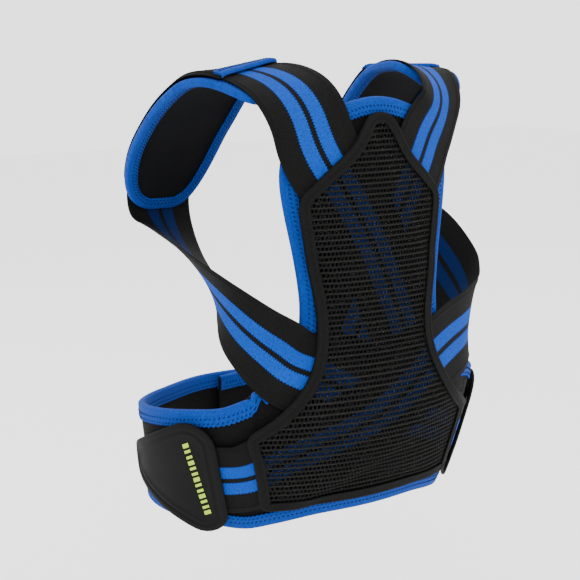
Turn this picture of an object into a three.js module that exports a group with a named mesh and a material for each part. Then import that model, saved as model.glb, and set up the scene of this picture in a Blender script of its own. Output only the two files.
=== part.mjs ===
// A posture corrector: a worn back brace of neoprene, striped elastic straps and a mesh back cover.
//
// Frame: millimetres, +Z up. The wearer faces +Y, so the back panel is towards -Y and the wearer's
// left is -X. The shape is laid out with heights counted up from the hem, and the whole group is
// then lowered so that the origin lies midway between the two shoulder tops, where the brace hangs.

import * as THREE from "three";

// Overall driving sizes
const backHeight = 402; // hem to the top of the mesh cover
const beltHeight = 125; // height of the waist belt
const waistHalfWidth = 179; // half the belt loop from side to side, at its top edge
const waistHalfDepth = 127; // half the belt loop from front to back, at its top edge
const shoulderHeight = 431; // hem to the strap where it crosses the shoulder
const shoulderSpread = 106; // centre line to the middle of each shoulder strap
const shoulderBack = 50; // how far behind the loop's centre the shoulder ridge lies
const chestReach = 98; // how far in front of the loop's centre the pads reach

// Materials, as thicknesses and widths
const shellThickness = 3; // neoprene of the back shell and belt
const strapWidth = 75;
const strapThickness = 1.5;
const coverThickness = 1.4; // spacer mesh
const padWidth = 96;
const padThickness = 3.6;
const sleeveThickness = 1.4;
const tapeThickness = 0.9; // wall of a folded edge tape
const tapeLip = 13; // how far an edge tape reaches in from the edge
const borderLip = 8; // the same for the black tape round the mesh cover
const gap = 0.3; // clearance between layers that lie on each other
const tapeClear = 1.4; // clearance between an edge tape and the sheet it binds

const degree = Math.PI / 180;

const evenly = (from, to, count) =>
  Array.from({ length: count + 1 }, (_, i) => from + ((to - from) * i) / count);

// Smooth value of one column of a table, read at a place along another column.
function read(rows, along, column, place) {
  const last = rows.length - 1;
  if (place <= rows[0][along]) return rows[0][column];
  if (place >= rows[last][along]) return rows[last][column];
  const i = rows.findIndex((row) => row[along] > place) - 1;
  const slope = (k) => {
    const a = rows[Math.max(k - 1, 0)];
    const b = rows[Math.min(k + 1, last)];
    return (b[column] - a[column]) / (b[along] - a[along]);
  };
  const h = rows[i + 1][along] - rows[i][along];
  const t = (place - rows[i][along]) / h;
  const t2 = t * t;
  const t3 = t2 * t;
  return (
    (2 * t3 - 3 * t2 + 1) * rows[i][column] +
    (t3 - 2 * t2 + t) * h * slope(i) +
    (3 * t2 - 2 * t3) * rows[i + 1][column] +
    (t3 - t2) * h * slope(i + 1)
  );
}

// The body outline at each height: an ellipse, as shares of the belt loop's half width and depth.
// height is a share of backHeight, forward and aside shift the ellipse's centre.
const bodySections = [
  { height: 0, halfWidth: 0.89, halfDepth: 0.88, forward: 0.18, aside: 0.02 },
  { height: 0.15, halfWidth: 0.95, halfDepth: 0.94, forward: 0.06, aside: 0.01 },
  { height: 0.31, halfWidth: 1, halfDepth: 0.99, forward: -0.03, aside: 0 },
  { height: 0.48, halfWidth: 0.97, halfDepth: 0.93, forward: -0.03, aside: 0 },
  { height: 0.8, halfWidth: 0.95, halfDepth: 0.87, forward: -0.03, aside: 0 },
  { height: 1.05, halfWidth: 0.95, halfDepth: 0.83, forward: -0.02, aside: 0 },
];

function bodySection(z) {
  const place = z / backHeight;
  const at = (column) => read(bodySections, "height", column, place);
  return {
    halfWidth: at("halfWidth") * waistHalfWidth,
    halfDepth: at("halfDepth") * waistHalfDepth,
    forward: at("forward") * waistHalfDepth,
    aside: at("aside") * waistHalfWidth,
  };
}

// A point of the body at a turn (degrees, 0 at the back, -90 at the wearer's left) and a height.
function bodyPoint(turn, z) {
  const s = bodySection(z);
  return new THREE.Vector3(
    s.aside + s.halfWidth * Math.sin(turn * degree),
    s.forward - s.halfDepth * Math.cos(turn * degree),
    z,
  );
}

// The back panel hangs a little to the wearer's left, as shares of waistHalfWidth.
const backDrift = [
  { height: 0.05, aside: 0.014 },
  { height: 0.2, aside: -0.02 },
  { height: 0.3, aside: -0.06 },
  { height: 0.38, aside: -0.058 },
  { height: 0.54, aside: -0.045 },
  { height: 0.8, aside: -0.033 },
  { height: 1, aside: -0.024 },
];

function turnAt(across, z) {
  const s = bodySection(z);
  const drift = read(backDrift, "height", "aside", z / backHeight) * waistHalfWidth;
  const share = (across + drift - s.aside) / s.halfWidth;
  return Math.asin(THREE.MathUtils.clamp(share, -0.999, 0.999)) / degree;
}

// The same point with the outward normal, lifted off the body.
function onBody(turn, z, lift = 0) {
  const step = 0.5;
  const point = bodyPoint(turn, z);
  const sideways = bodyPoint(turn + step, z).sub(bodyPoint(turn - step, z));
  const upwards = bodyPoint(turn, z + step).sub(bodyPoint(turn, z - step));
  const normal = sideways.cross(upwards).normalize();
  return { point: point.addScaledVector(normal, lift), normal };
}

const onBack = (across, z, lift = 0) => onBody(turnAt(across, z), z, lift);

// A closed sheet from a grid of { point, normal }: rows of equal length, between two lifts.
function sheet(grid, low, high) {
  const rows = grid.length;
  const columns = grid[0].length;
  const positions = [];
  for (const lift of [low, high])
    for (const row of grid)
      for (const { point, normal } of row)
        positions.push(...point.clone().addScaledVector(normal, lift).toArray());
  const corner = (side, i, j) => (side * rows + i) * columns + j;
  const index = [];
  const quad = (a, b, c, d) => index.push(a, b, c, a, c, d);
  for (let i = 0; i < rows - 1; i++)
    for (let j = 0; j < columns - 1; j++) {
      quad(corner(1, i, j), corner(1, i, j + 1), corner(1, i + 1, j + 1), corner(1, i + 1, j));
      quad(corner(0, i, j), corner(0, i + 1, j), corner(0, i + 1, j + 1), corner(0, i, j + 1));
    }
  for (let j = 0; j < columns - 1; j++) {
    quad(corner(0, 0, j), corner(0, 0, j + 1), corner(1, 0, j + 1), corner(1, 0, j));
    const end = rows - 1;
    quad(corner(0, end, j + 1), corner(0, end, j), corner(1, end, j), corner(1, end, j + 1));
  }
  for (let i = 0; i < rows - 1; i++) {
    quad(corner(0, i + 1, 0), corner(0, i, 0), corner(1, i, 0), corner(1, i + 1, 0));
    const end = columns - 1;
    quad(corner(0, i, end), corner(0, i + 1, end), corner(1, i + 1, end), corner(1, i, end));
  }
  return outwardFacing(geometryOf(positions, index));
}

function geometryOf(positions, index) {
  const geometry = new THREE.BufferGeometry();
  geometry.setAttribute("position", new THREE.Float32BufferAttribute(positions, 3));
  geometry.setIndex(index);
  geometry.computeVertexNormals();
  return geometry;
}

// The { point, normal } of a grid at a fractional row and column.
function onGrid({ grid, row, column }) {
  const i = THREE.MathUtils.clamp(Math.floor(row), 0, grid.length - 2);
  const j = THREE.MathUtils.clamp(Math.floor(column), 0, grid[0].length - 2);
  const mix = (key) => {
    const low = grid[i][j][key].clone().lerp(grid[i][j + 1][key], column - j);
    return low.lerp(grid[i + 1][j][key].clone().lerp(grid[i + 1][j + 1][key], column - j), row - i);
  };
  return { point: mix("point"), normal: mix("normal").normalize() };
}

// The place on the same grid that lies a given way from a place.
function placeAlong(place, way) {
  const { grid } = place;
  const goal = onGrid(place).point.add(way);
  let { row, column } = place;
  for (let step = 0; step < 4; step++) {
    const here = onGrid({ grid, row, column }).point;
    const change = (rows, columns) =>
      onGrid({ grid, row: row + rows, column: column + columns }).point.sub(here);
    const up = row < 0.5 ? change(0.05, 0) : change(-0.05, 0).negate();
    const aside = column < 0.5 ? change(0, 0.05) : change(0, -0.05).negate();
    const left = goal.clone().sub(here);
    const [a, b, c] = [up.dot(up), up.dot(aside), aside.dot(aside)];
    const [p, q] = [left.dot(up), left.dot(aside)];
    const scale = 0.05 / (a * c - b * b);
    row = THREE.MathUtils.clamp(row + (p * c - q * b) * scale, 0, grid.length - 1);
    column = THREE.MathUtils.clamp(column + (q * a - p * b) * scale, 0, grid[0].length - 1);
  }
  return { grid, row, column };
}

// An edge tape on places { grid, row, column } along a sheet's edge, where the sheet lies between
// the lifts low and high. A folded tape goes round the edge; the other lies on the outer face.
function edgeTape(places, closed, low, high, lip, folded = true) {
  const edge = tapeClear + tapeThickness;
  const outer = [
    [tapeClear, high + tapeClear],
    [-lip, high + tapeClear],
    [-lip, high + edge],
    [edge, high + edge],
  ];
  const inner = [
    [edge, low - edge],
    [-lip, low - edge],
    [-lip, low - tapeClear],
    [tapeClear, low - tapeClear],
  ];
  const closing = [
    [edge, low],
    [tapeClear, low],
  ];
  const section = [...outer, ...(folded ? inner : closing)];
  const rings = edgeStations(places, closed).map(({ point, normal, out, place }) => {
    const within = onGrid(placeAlong(place, out.clone().multiplyScalar(-lip)));
    return section.map(([outwards, lift]) =>
      outwards < 0
        ? within.point.clone().addScaledVector(within.normal, lift)
        : point.clone().addScaledVector(out, outwards).addScaledVector(normal, lift),
    );
  });
  return tube(rings, closed, section);
}

// A closed solid from rings of points; an open one is capped as its flat section shows.
function tube(rings, closed, section) {
  const positions = rings.flat().flatMap((p) => p.toArray());
  const size = section.length;
  const index = [];
  const spans = closed ? rings.length : rings.length - 1;
  for (let i = 0; i < spans; i++)
    for (let j = 0; j < size; j++) {
      const a = i * size + j;
      const b = i * size + ((j + 1) % size);
      const c = ((i + 1) % rings.length) * size + ((j + 1) % size);
      const d = ((i + 1) % rings.length) * size + j;
      index.push(a, d, c, a, c, b);
    }
  if (!closed) {
    const outline = section.map(([outwards, lift]) => new THREE.Vector2(outwards, lift));
    const way = THREE.ShapeUtils.area(outline);
    const last = (rings.length - 1) * size;
    for (const face of THREE.ShapeUtils.triangulateShape(outline, [])) {
      if (THREE.ShapeUtils.area(face.map((k) => outline[k])) * way < 0) face.reverse();
      const [a, b, c] = face;
      index.push(a, b, c, last + c, last + b, last + a);
    }
  }
  return outwardFacing(geometryOf(positions, index));
}

// Turns the faces round if the closed geometry's volume comes out negative.
function outwardFacing(geometry) {
  const p = geometry.getAttribute("position");
  const index = geometry.getIndex();
  const corner = (k) => new THREE.Vector3().fromBufferAttribute(p, index.getX(k));
  let volume = 0;
  for (let k = 0; k < index.count; k += 3)
    volume += corner(k).dot(corner(k + 1).cross(corner(k + 2)));
  if (volume < 0)
    for (let k = 0; k < index.count; k += 3) {
      const second = index.getX(k + 1);
      index.setX(k + 1, index.getX(k + 2));
      index.setX(k + 2, second);
    }
  geometry.computeVertexNormals();
  return geometry;
}

// The { point, normal, out } of each place along an edge, where out points away from the sheet.
function edgeStations(places, closed) {
  const count = places.length;
  const points = places.map(onGrid);
  const neighbour = (i) => (closed ? points[(i + count) % count] : points[i]);
  let sense = 0;
  const stations = points.map(({ point, normal }, i) => {
    const before = neighbour(i - 1);
    const after = neighbour(i + 1);
    const leaving = (after ?? points[i]).point.clone().sub((after ? points[i] : before).point);
    const arriving = (before ? points[i] : after).point.clone().sub((before ?? points[i]).point);
    const out = arriving.normalize().cross(normal).normalize();
    const outAfter = leaving.normalize().cross(normal).normalize();
    const mitre = 1 / Math.max(Math.sqrt((1 + out.dot(outAfter)) / 2), 0.5);
    out.add(outAfter).normalize().multiplyScalar(mitre);
    const { grid } = places[i];
    const middle = { grid, row: (grid.length - 1) / 2, column: (grid[0].length - 1) / 2 };
    sense += Math.sign(out.dot(point.clone().sub(onGrid(middle).point)));
    return { point, normal, out, place: places[i] };
  });
  if (sense < 0) for (const { out } of stations) out.negate();
  return stations;
}

// The waist belt and the back shell

const seamTurn = 44; // where the belt's wings are sewn to the back shell
const closureLap = 9; // how far each wing passes the front centre line, in degrees
const lapLift = shellThickness + 2 * (tapeThickness + tapeClear) + gap; // left wing over right

// The belt's top edge and hem at each turn, as shares of beltHeight.
const beltEdges = [
  { turn: 0, top: 1.13, hem: 0.13 },
  { turn: 20, top: 1.13, hem: 0.12 },
  { turn: 36, top: 1.13, hem: 0.06 },
  { turn: 46, top: 1.09, hem: 0.02 },
  { turn: 56, top: 1.01, hem: 0.04 },
  { turn: 68, top: 0.98, hem: 0.065 },
  { turn: 95, top: 0.915, hem: 0.09 },
  { turn: 130, top: 0.83, hem: 0.08 },
  { turn: 195, top: 0.76, hem: 0.06 },
];

const beltTop = (turn) => read(beltEdges, "turn", "top", Math.abs(turn)) * beltHeight;
const beltHem = (turn) => read(beltEdges, "turn", "hem", Math.abs(turn)) * beltHeight;

// The left wing rises over the right one where they close at the front.
function wingLift(side, turn) {
  if (side > 0) return 0;
  return lapLift * THREE.MathUtils.smoothstep(Math.abs(turn), 140, 168);
}

// The half width of the back shell above the belt, as a share of waistHalfWidth.
const shellSides = [
  { height: 0.33, half: 0.7 },
  { height: 0.35, half: 0.655 },
  { height: 0.37, half: 0.595 },
  { height: 0.395, half: 0.525 },
  { height: 0.425, half: 0.467 },
  { height: 0.46, half: 0.433 },
  { height: 0.54, half: 0.418 },
  { height: 0.6, half: 0.428 },
  { height: 0.68, half: 0.456 },
  { height: 0.76, half: 0.49 },
  { height: 0.83, half: 0.51 },
  { height: 0.9, half: 0.5 },
];
const shellShoulder = 0.87 * backHeight; // where its rows begin to follow the neck line
const neckTop = 1.008 * backHeight;
const neckDrop = 0.085 * backHeight; // from the neck's top to the shoulder corners

const shellHalf = (z) => read(shellSides, "height", "half", z / backHeight) * waistHalfWidth;

function neckLine(share) {
  return neckTop - neckDrop * Math.pow(Math.abs(share), 1.9);
}

const shellColumns = 10;
const shellRowsBelow = 5; // within the belt's height
const shellRowsSides = 11; // up to the shoulders
const shellRowsTop = 2; // between the shoulders and the neck line
const seamGap = 0.12; // degrees left between the shell and each wing

function shellGrid() {
  const grid = [];
  const rowOf = (place) => {
    const row = [];
    for (let j = 0; j <= shellColumns; j++) row.push(place((2 * j) / shellColumns - 1));
    grid.push(row);
  };
  for (let i = 0; i <= shellRowsBelow; i++)
    rowOf((share) => {
      const turn = share * (seamTurn - seamGap);
      const low = beltHem(turn);
      return onBody(turn, THREE.MathUtils.lerp(low, beltTop(seamTurn), i / shellRowsBelow));
    });
  const low = beltTop(seamTurn);
  for (let i = 1; i <= shellRowsSides; i++) {
    const z = low + (shellShoulder - low) * Math.pow(i / shellRowsSides, 1.5);
    rowOf((share) => onBack(share * shellHalf(z), z));
  }
  for (let i = 1; i <= shellRowsTop; i++) {
    const part = i / shellRowsTop;
    const half = shellHalf(shellShoulder) * THREE.MathUtils.lerp(1, 0.94, part);
    rowOf((share) =>
      onBack(share * half, THREE.MathUtils.lerp(shellShoulder, neckLine(share), part)),
    );
  }
  return grid;
}

const wingColumns = 24;
const wingRows = 3;

function wingGrid(side) {
  const grid = [];
  for (let i = 0; i <= wingRows; i++) {
    const row = [];
    for (let j = 0; j <= wingColumns; j++) {
      const turn = side * (seamTurn + ((180 + closureLap - seamTurn) * j) / wingColumns);
      const z = THREE.MathUtils.lerp(beltHem(turn), beltTop(turn), i / wingRows);
      row.push(onBody(turn, z, wingLift(side, turn)));
    }
    grid.push(side > 0 ? row : row.reverse());
  }
  return grid;
}

// Straps and pads

// A strap's way from a table of rows. across is a share of shoulderSpread, towards the strap's own
// side, forward of chestReach and height of shoulderHeight. Rows with a rise lie on the back panel,
// where across is a share of backSpread, and rise is how many strap layers higher the upper one of
// a crossing pair lies there. Other rows give forward, and the way the strap's outer face points,
// outX towards the strap's own side; the right strap twists that further out.
const strapRest = shellThickness + tapeClear + tapeThickness + 3 * gap; // clear of the edge tapes
const layerStep = strapThickness + 4 * gap;
const backSpread = (waistHalfWidth * 106) / 179; // the straps' laid rows keep to the back's width

function placeOf(row, side, upper) {
  const height = row.height * shoulderHeight;
  if (row.rise !== undefined) {
    const onShell = side * row.across * backSpread;
    return onBack(onShell, height, strapRest + (upper ? row.rise * layerStep : 0));
  }
  const across = side * row.across * shoulderSpread;
  const twist = side > 0 ? (row.twist ?? 0) : 0;
  return {
    point: new THREE.Vector3(across, row.forward * chestReach, height),
    normal: new THREE.Vector3(side * (row.outX + twist), row.outY, row.outZ).normalize(),
  };
}

// Stations of { point, normal, across } at shares of the length of the way through a table.
function stationsOf(rows, side, upper, shares) {
  const places = rows.map((row) => placeOf(row, side, upper));
  const line = new THREE.CatmullRomCurve3(places.map((place) => place.point));
  const facing = new THREE.CatmullRomCurve3(places.map((place) => place.normal));
  facing.curveType = "catmullrom";
  line.arcLengthDivisions = 400;
  return shares.map((share) => {
    const t = line.getUtoTmapping(share);
    const k = Math.min(Math.floor(t * (rows.length - 1)), rows.length - 2);
    const blend = (value) =>
      THREE.MathUtils.lerp(value(rows[k]), value(rows[k + 1]), t * (rows.length - 1) - k);
    const laid = blend((row) => (row.rise === undefined ? 0 : 1));
    const rise = blend((row) => row.rise ?? rows[k].rise ?? rows[k + 1].rise ?? 0);
    const tangent = line.getTangent(t);
    const normal = facing.getPoint(t);
    normal.addScaledVector(tangent, -normal.dot(tangent)).normalize();
    const across = normal.clone().cross(tangent).normalize();
    const lift = strapRest + (upper ? rise * layerStep : 0);
    return { point: line.getPoint(t), normal, across, laid, lift, share };
  });
}

const restReach = 7; // a free strap this little too low is lifted to lie on the back panel

// Grid of { point, normal } across each station: places are shares of the half width there.
function bandGrid(stations, halfWidthAt, places, liftAt = () => 0) {
  return stations.map((station) => {
    const half = halfWidthAt(station.share);
    return places.map((place) => {
      const point = station.point.clone().addScaledVector(station.across, half * place);
      const normal = station.normal.clone();
      const on = bodyUnder(point);
      if (station.laid > 0) {
        const laid = on.point.clone().addScaledVector(on.normal, station.lift);
        point.lerp(laid, station.laid);
        normal.lerp(on.normal, station.laid).normalize();
      }
      const height = point.clone().sub(on.point).dot(on.normal);
      if (height < station.lift && point.z < shellShoulder) {
        const share = THREE.MathUtils.smoothstep(height, -restReach, -restReach / 2);
        point.addScaledVector(on.normal, share * (station.lift - height));
      }
      return { point: point.addScaledVector(normal, liftAt(place)), normal };
    });
  });
}

// The body straight in front of a point behind it. Beside the back panel it goes on straight, as a
// strap does where it leaves the shell.
function bodyUnder(point) {
  const s = bodySection(point.z);
  const above = THREE.MathUtils.smoothstep(point.z / backHeight, 0.3, 0.45);
  const limit = THREE.MathUtils.lerp(0.97, 0.48, above);
  const share = (point.x - s.aside) / s.halfWidth;
  const kept = THREE.MathUtils.clamp(share, -limit, limit);
  const on = onBody(Math.asin(kept) / degree, point.z);
  const beyond = (share - kept) * s.halfWidth;
  on.point.x += beyond;
  on.point.y -= (beyond * on.normal.x) / on.normal.y;
  return on;
}

// From under the cover, over the shoulder and down the chest pad.
const shoulderRoute = [
  { across: -0.245, height: 0.44, rise: 1 },
  { across: -0.13, height: 0.51, rise: 1 },
  { across: 0.02, height: 0.6, rise: 1 },
  { across: 0.2, height: 0.69, rise: 1 },
  { across: 0.35, height: 0.756, rise: 1 },
  { across: 0.495, height: 0.811, rise: 0.8 },
  { across: 0.58, height: 0.858, rise: 0.3 },
  { across: 0.7, forward: -1.095, height: 0.897, outX: 0.32, outY: -0.91, outZ: 0.25, twist: 0.2 },
  { across: 0.75, forward: -1.08, height: 0.924, outX: 0.3, outY: -0.85, outZ: 0.43, twist: 0.25 },
  { across: 0.795, forward: -0.99, height: 0.955, outX: 0.26, outY: -0.7, outZ: 0.66, twist: 0.22 },
  { across: 0.84, forward: -0.8, height: 0.981, outX: 0.2, outY: -0.46, outZ: 0.86, twist: 0.12 },
  { across: 0.905, forward: -0.57, height: 0.995, outX: 0.15, outY: -0.2, outZ: 0.97 },
  { across: 0.97, forward: -0.34, height: 0.998, outX: 0.11, outY: 0.08, outZ: 0.99 },
  { across: 1.02, forward: -0.1, height: 0.984, outX: 0.08, outY: 0.42, outZ: 0.9 },
  { across: 1.05, forward: 0.13, height: 0.95, outX: 0.06, outY: 0.66, outZ: 0.75 },
  { across: 1.067, forward: 0.36, height: 0.903, outX: 0.02, outY: 0.76, outZ: 0.64 },
  { across: 1.072, forward: 0.67, height: 0.832, outX: 0, outY: 0.86, outZ: 0.5 },
  { across: 1.092, forward: 0.9, height: 0.748, outX: 0.02, outY: 0.93, outZ: 0.34 },
  { across: 1.1, forward: 1, height: 0.685, outX: 0.05, outY: 0.98, outZ: 0.15 },
];

// From under the chest pad and below the arm: the wearer's left, then the right, which bulges out.
const underArm = {
  left: [
    { across: 1.092, forward: 0.9, height: 0.748, outX: 0.02, outY: 0.93, outZ: 0.34 },
    { across: 1.1, forward: 1.005, height: 0.69, outX: 0.05, outY: 0.98, outZ: 0.12 },
    { across: 1.085, forward: 1.02, height: 0.66, outX: 0.12, outY: 0.95, outZ: -0.2 },
    { across: 1.05, forward: 0.9, height: 0.63, outX: 0.3, outY: 0.68, outZ: -0.64 },
    { across: 1.13, forward: 0.51, height: 0.603, outX: 0.5, outY: 0.35, outZ: -0.78 },
    { across: 1.24, forward: 0.05, height: 0.591, outX: 0.61, outY: 0.24, outZ: -0.75 },
    { across: 1.325, forward: -0.34, height: 0.559, outX: 0.78, outY: 0.2, outZ: -0.58 },
    { across: 1.335, forward: -0.61, height: 0.522, outX: 0.92, outY: 0.02, outZ: -0.38 },
    { across: 1.285, forward: -0.82, height: 0.483, outX: 0.92, outY: -0.3, outZ: -0.24 },
    { across: 1.17, forward: -1, height: 0.442, outX: 0.8, outY: -0.57, outZ: -0.14 },
    { across: 1.02, forward: -1.09, height: 0.41, outX: 0.5, outY: -0.86, outZ: -0.03 },
  ],
  right: [
    { across: 1.092, forward: 0.9, height: 0.748, outX: 0.02, outY: 0.93, outZ: 0.34 },
    { across: 1.105, forward: 1.005, height: 0.69, outX: 0.05, outY: 0.98, outZ: 0.12 },
    { across: 1.17, forward: 1.02, height: 0.655, outX: 0.2, outY: 0.93, outZ: -0.25 },
    { across: 1.37, forward: 0.7, height: 0.635, outX: 0.5, outY: 0.65, outZ: -0.55 },
    { across: 1.57, forward: 0.306, height: 0.595, outX: 0.66, outY: 0.3, outZ: -0.68 },
    { across: 1.65, forward: 0.05, height: 0.53, outX: 0.72, outY: 0.08, outZ: -0.68 },
    { across: 1.64, forward: -0.2, height: 0.484, outX: 0.78, outY: -0.12, outZ: -0.6 },
    { across: 1.56, forward: -0.46, height: 0.45, outX: 0.84, outY: -0.4, outZ: -0.35 },
    { across: 1.42, forward: -0.68, height: 0.43, outX: 0.82, outY: -0.54, outZ: -0.2 },
    { across: 1.1, forward: -1.035, height: 0.408, outX: 0.56, outY: -0.82, outZ: -0.06 },
  ],
};

// Then across the back under the cover and out to the belt tab on the other side.
const acrossBack = [
  { across: 0.8, height: 0.382, rise: 1 },
  { across: 0.6, height: 0.362, rise: 1 },
  { across: 0, height: 0.277, rise: 1 },
  { across: -0.83, height: 0.193, rise: 1 },
  { across: -1.06, height: 0.15, rise: 1 },
  { across: -1.25, height: 0.137, rise: 0.1 },
  { across: -1.46, height: 0.136, rise: 0 },
];

// Half widths of the pad, as shares of half padWidth, along its length.
const padOutline = [
  { along: 0, half: 0.5 },
  { along: 0.03, half: 0.69 },
  { along: 0.075, half: 0.8 },
  { along: 0.13, half: 0.85 },
  { along: 0.185, half: 0.875 },
  { along: 0.24, half: 0.9 },
  { along: 0.3, half: 0.925 },
  { along: 0.36, half: 0.95 },
  { along: 0.43, half: 0.97 },
  { along: 0.5, half: 0.99 },
  { along: 0.57, half: 1 },
  { along: 0.64, half: 1 },
  { along: 0.71, half: 0.995 },
  { along: 0.78, half: 0.975 },
  { along: 0.84, half: 0.93 },
  { along: 0.89, half: 0.865 },
  { along: 0.935, half: 0.765 },
  { along: 0.972, half: 0.61 },
  { along: 1, half: 0.36 },
];
// Stations of the straps below the arms, closer together where they turn back from the chest
const sideShares = [...evenly(0, 0.3, 17), ...evenly(0.3, 1, 20).slice(1)];

const padFrom = 0.5; // where the pad begins, as a share of the shoulder route

// The shoulder pieces share these stations, so that they bend together.
const backShares = evenly(0, padFrom, 14).slice(0, -1);
const padShares = padOutline.map((row) => padFrom + row.along * (1 - padFrom));
const shoulderShares = [...backShares, ...padShares];

// Rows of padOutline where these begin and end
const sleeveRows = [4, 15];
const strapEndRow = 12; // the strap that goes on below the arm begins beyond this, in the sleeve

// Edge lines

const rowPlaces = (grid, row) => grid[row].map((_, column) => ({ grid, row, column }));
const columnPlaces = (grid, column) => grid.map((_, row) => ({ grid, row, column }));

// A grid's rim as a closed loop of places.
function rimOf(grid) {
  const last = grid.length - 1;
  const end = grid[0].length - 1;
  return [
    ...rowPlaces(grid, 0).slice(0, end),
    ...columnPlaces(grid, end).slice(0, last),
    ...rowPlaces(grid, last).slice(1).reverse(),
    ...columnPlaces(grid, 0).slice(1).reverse(),
  ];
}

// The places without the first and last stretches of the given lengths.
function trimmed(places, atStart, atEnd) {
  const cut = (list, length) => {
    const kept = list.slice();
    const step = () => onGrid(kept[0]).point.distanceTo(onGrid(kept[1]).point);
    let left = length;
    while (kept.length > 2 && step() <= left) {
      left -= step();
      kept.shift();
    }
    const part = left / step();
    const [{ grid, row, column }, next] = kept;
    kept[0] = {
      grid,
      row: THREE.MathUtils.lerp(row, next.row, part),
      column: THREE.MathUtils.lerp(column, next.column, part),
    };
    return kept;
  };
  return cut(cut(places, atStart).reverse(), atEnd).reverse();
}

// The mesh cover

// Its half width at each height, as a share of waistHalfWidth.
const coverRows = [
  { height: 0.048, half: 0.585 },
  { height: 0.085, half: 0.6 },
  { height: 0.14, half: 0.62 },
  { height: 0.2, half: 0.645 },
  { height: 0.262, half: 0.665 },
  { height: 0.285, half: 0.6 },
  { height: 0.315, half: 0.52 },
  { height: 0.355, half: 0.44 },
  { height: 0.4, half: 0.38 },
  { height: 0.45, half: 0.35 },
  { height: 0.51, half: 0.345 },
  { height: 0.58, half: 0.365 },
  { height: 0.65, half: 0.395 },
  { height: 0.72, half: 0.42 },
  { height: 0.79, half: 0.43 },
  { height: 0.815, half: 0.375 },
  { height: 0.845, half: 0.305 },
  { height: 0.875, half: 0.225 },
  { height: 0.905, half: 0.155 },
  { height: 0.94, half: 0.105 },
  { height: 0.968, half: 0.07 },
];
const coverColumns = [-1, -0.87, -0.7, -0.52, -0.33, -0.11, 0.11, 0.33, 0.52, 0.7, 0.87, 1];
const coverClear = 4 * gap; // over the straps' edges
const coverSlope = 22; // how far beyond a strap's edge it comes down again

// How high above the body the straps below a point reach.
function strapsUnder(point, straps) {
  let top = strapRest;
  for (const stations of straps)
    for (let i = 1; i < stations.length; i++) {
      const [from, to] = [stations[i - 1], stations[i]];
      if (from.laid < 0.5) continue;
      const along = to.point.clone().sub(from.point);
      const part = point.clone().sub(from.point).dot(along) / along.lengthSq();
      const nearest = from.point.clone().addScaledVector(along, THREE.MathUtils.clamp(part, 0, 1));
      const beyond = nearest.distanceTo(point) - strapWidth / 2;
      const share = 1 - THREE.MathUtils.smoothstep(beyond, coverSlope / 2, coverSlope);
      const lift = Math.max(from.lift, to.lift) + strapThickness + coverClear;
      top = Math.max(top, THREE.MathUtils.lerp(strapRest, lift, share));
    }
  return top;
}

const coverGrid = (straps) =>
  coverRows.map((row) =>
    coverColumns.map((place) => {
      const z = row.height * backHeight;
      const half = row.half * waistHalfWidth;
      const level = coverColumns[1]; // the edge lies as high as the mesh beside it
      const within = THREE.MathUtils.clamp(place, level, -level) * half;
      const lift = strapsUnder(onBack(within, z, strapRest).point, straps);
      return onBack(place * half, z, lift);
    }),
  );

// The rubber tabs

const tabTurn = 60; // where a tab's upper corner lies
const tabLift = strapRest + strapThickness + 3 * gap; // lies on the strap's end
const tabThickness = 2.2;
const tabRim = 0.9; // how far its rim stands up

// A tab's corners: along the belt towards the front and up, as shares of beltHeight, and their
// rounding.
const tabCorners = [
  { along: -0.15, up: -0.09, round: 0.15 },
  { along: 1.04, up: 0.46, round: 0.17 },
  { along: 0.0, up: 1.03, round: 0.2 },
];

// The tab's outline, rounded, shrunk by inset towards its inside.
function tabOutline(inset) {
  const corners = tabCorners.map(
    ({ along, up }) => new THREE.Vector2(along * beltHeight, up * beltHeight),
  );
  const outline = [];
  corners.forEach((corner, i) => {
    const before = corners[(i + 2) % 3].clone().sub(corner).normalize();
    const after = corners[(i + 1) % 3].clone().sub(corner).normalize();
    const bisector = before.clone().add(after).normalize();
    const halfAngle = Math.acos(before.dot(after)) / 2;
    const round = tabCorners[i].round * beltHeight;
    const centre = corner.clone().addScaledVector(bisector, round / Math.sin(halfAngle));
    const start = Math.atan2(-bisector.y, -bisector.x);
    const sweepAngle = Math.PI / 2 - halfAngle;
    const turnWay = -Math.sign(before.cross(after));
    for (const part of evenly(-1, 1, 3)) {
      const angle = start + turnWay * part * sweepAngle;
      outline.push([
        centre.x + (round - inset) * Math.cos(angle),
        centre.y + (round - inset) * Math.sin(angle),
      ]);
    }
  });
  return withMidpoints(outline, 20);
}

// The closed outline with its long sides divided into steps no longer than longest.
function withMidpoints(outline, longest) {
  const divided = [];
  outline.forEach((from, i) => {
    const to = outline[(i + 1) % outline.length];
    const steps = Math.ceil(Math.hypot(to[0] - from[0], to[1] - from[1]) / longest);
    for (let k = 0; k < steps; k++)
      divided.push([0, 1].map((axis) => from[axis] + ((to[axis] - from[axis]) * k) / steps));
  });
  return divided;
}

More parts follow.
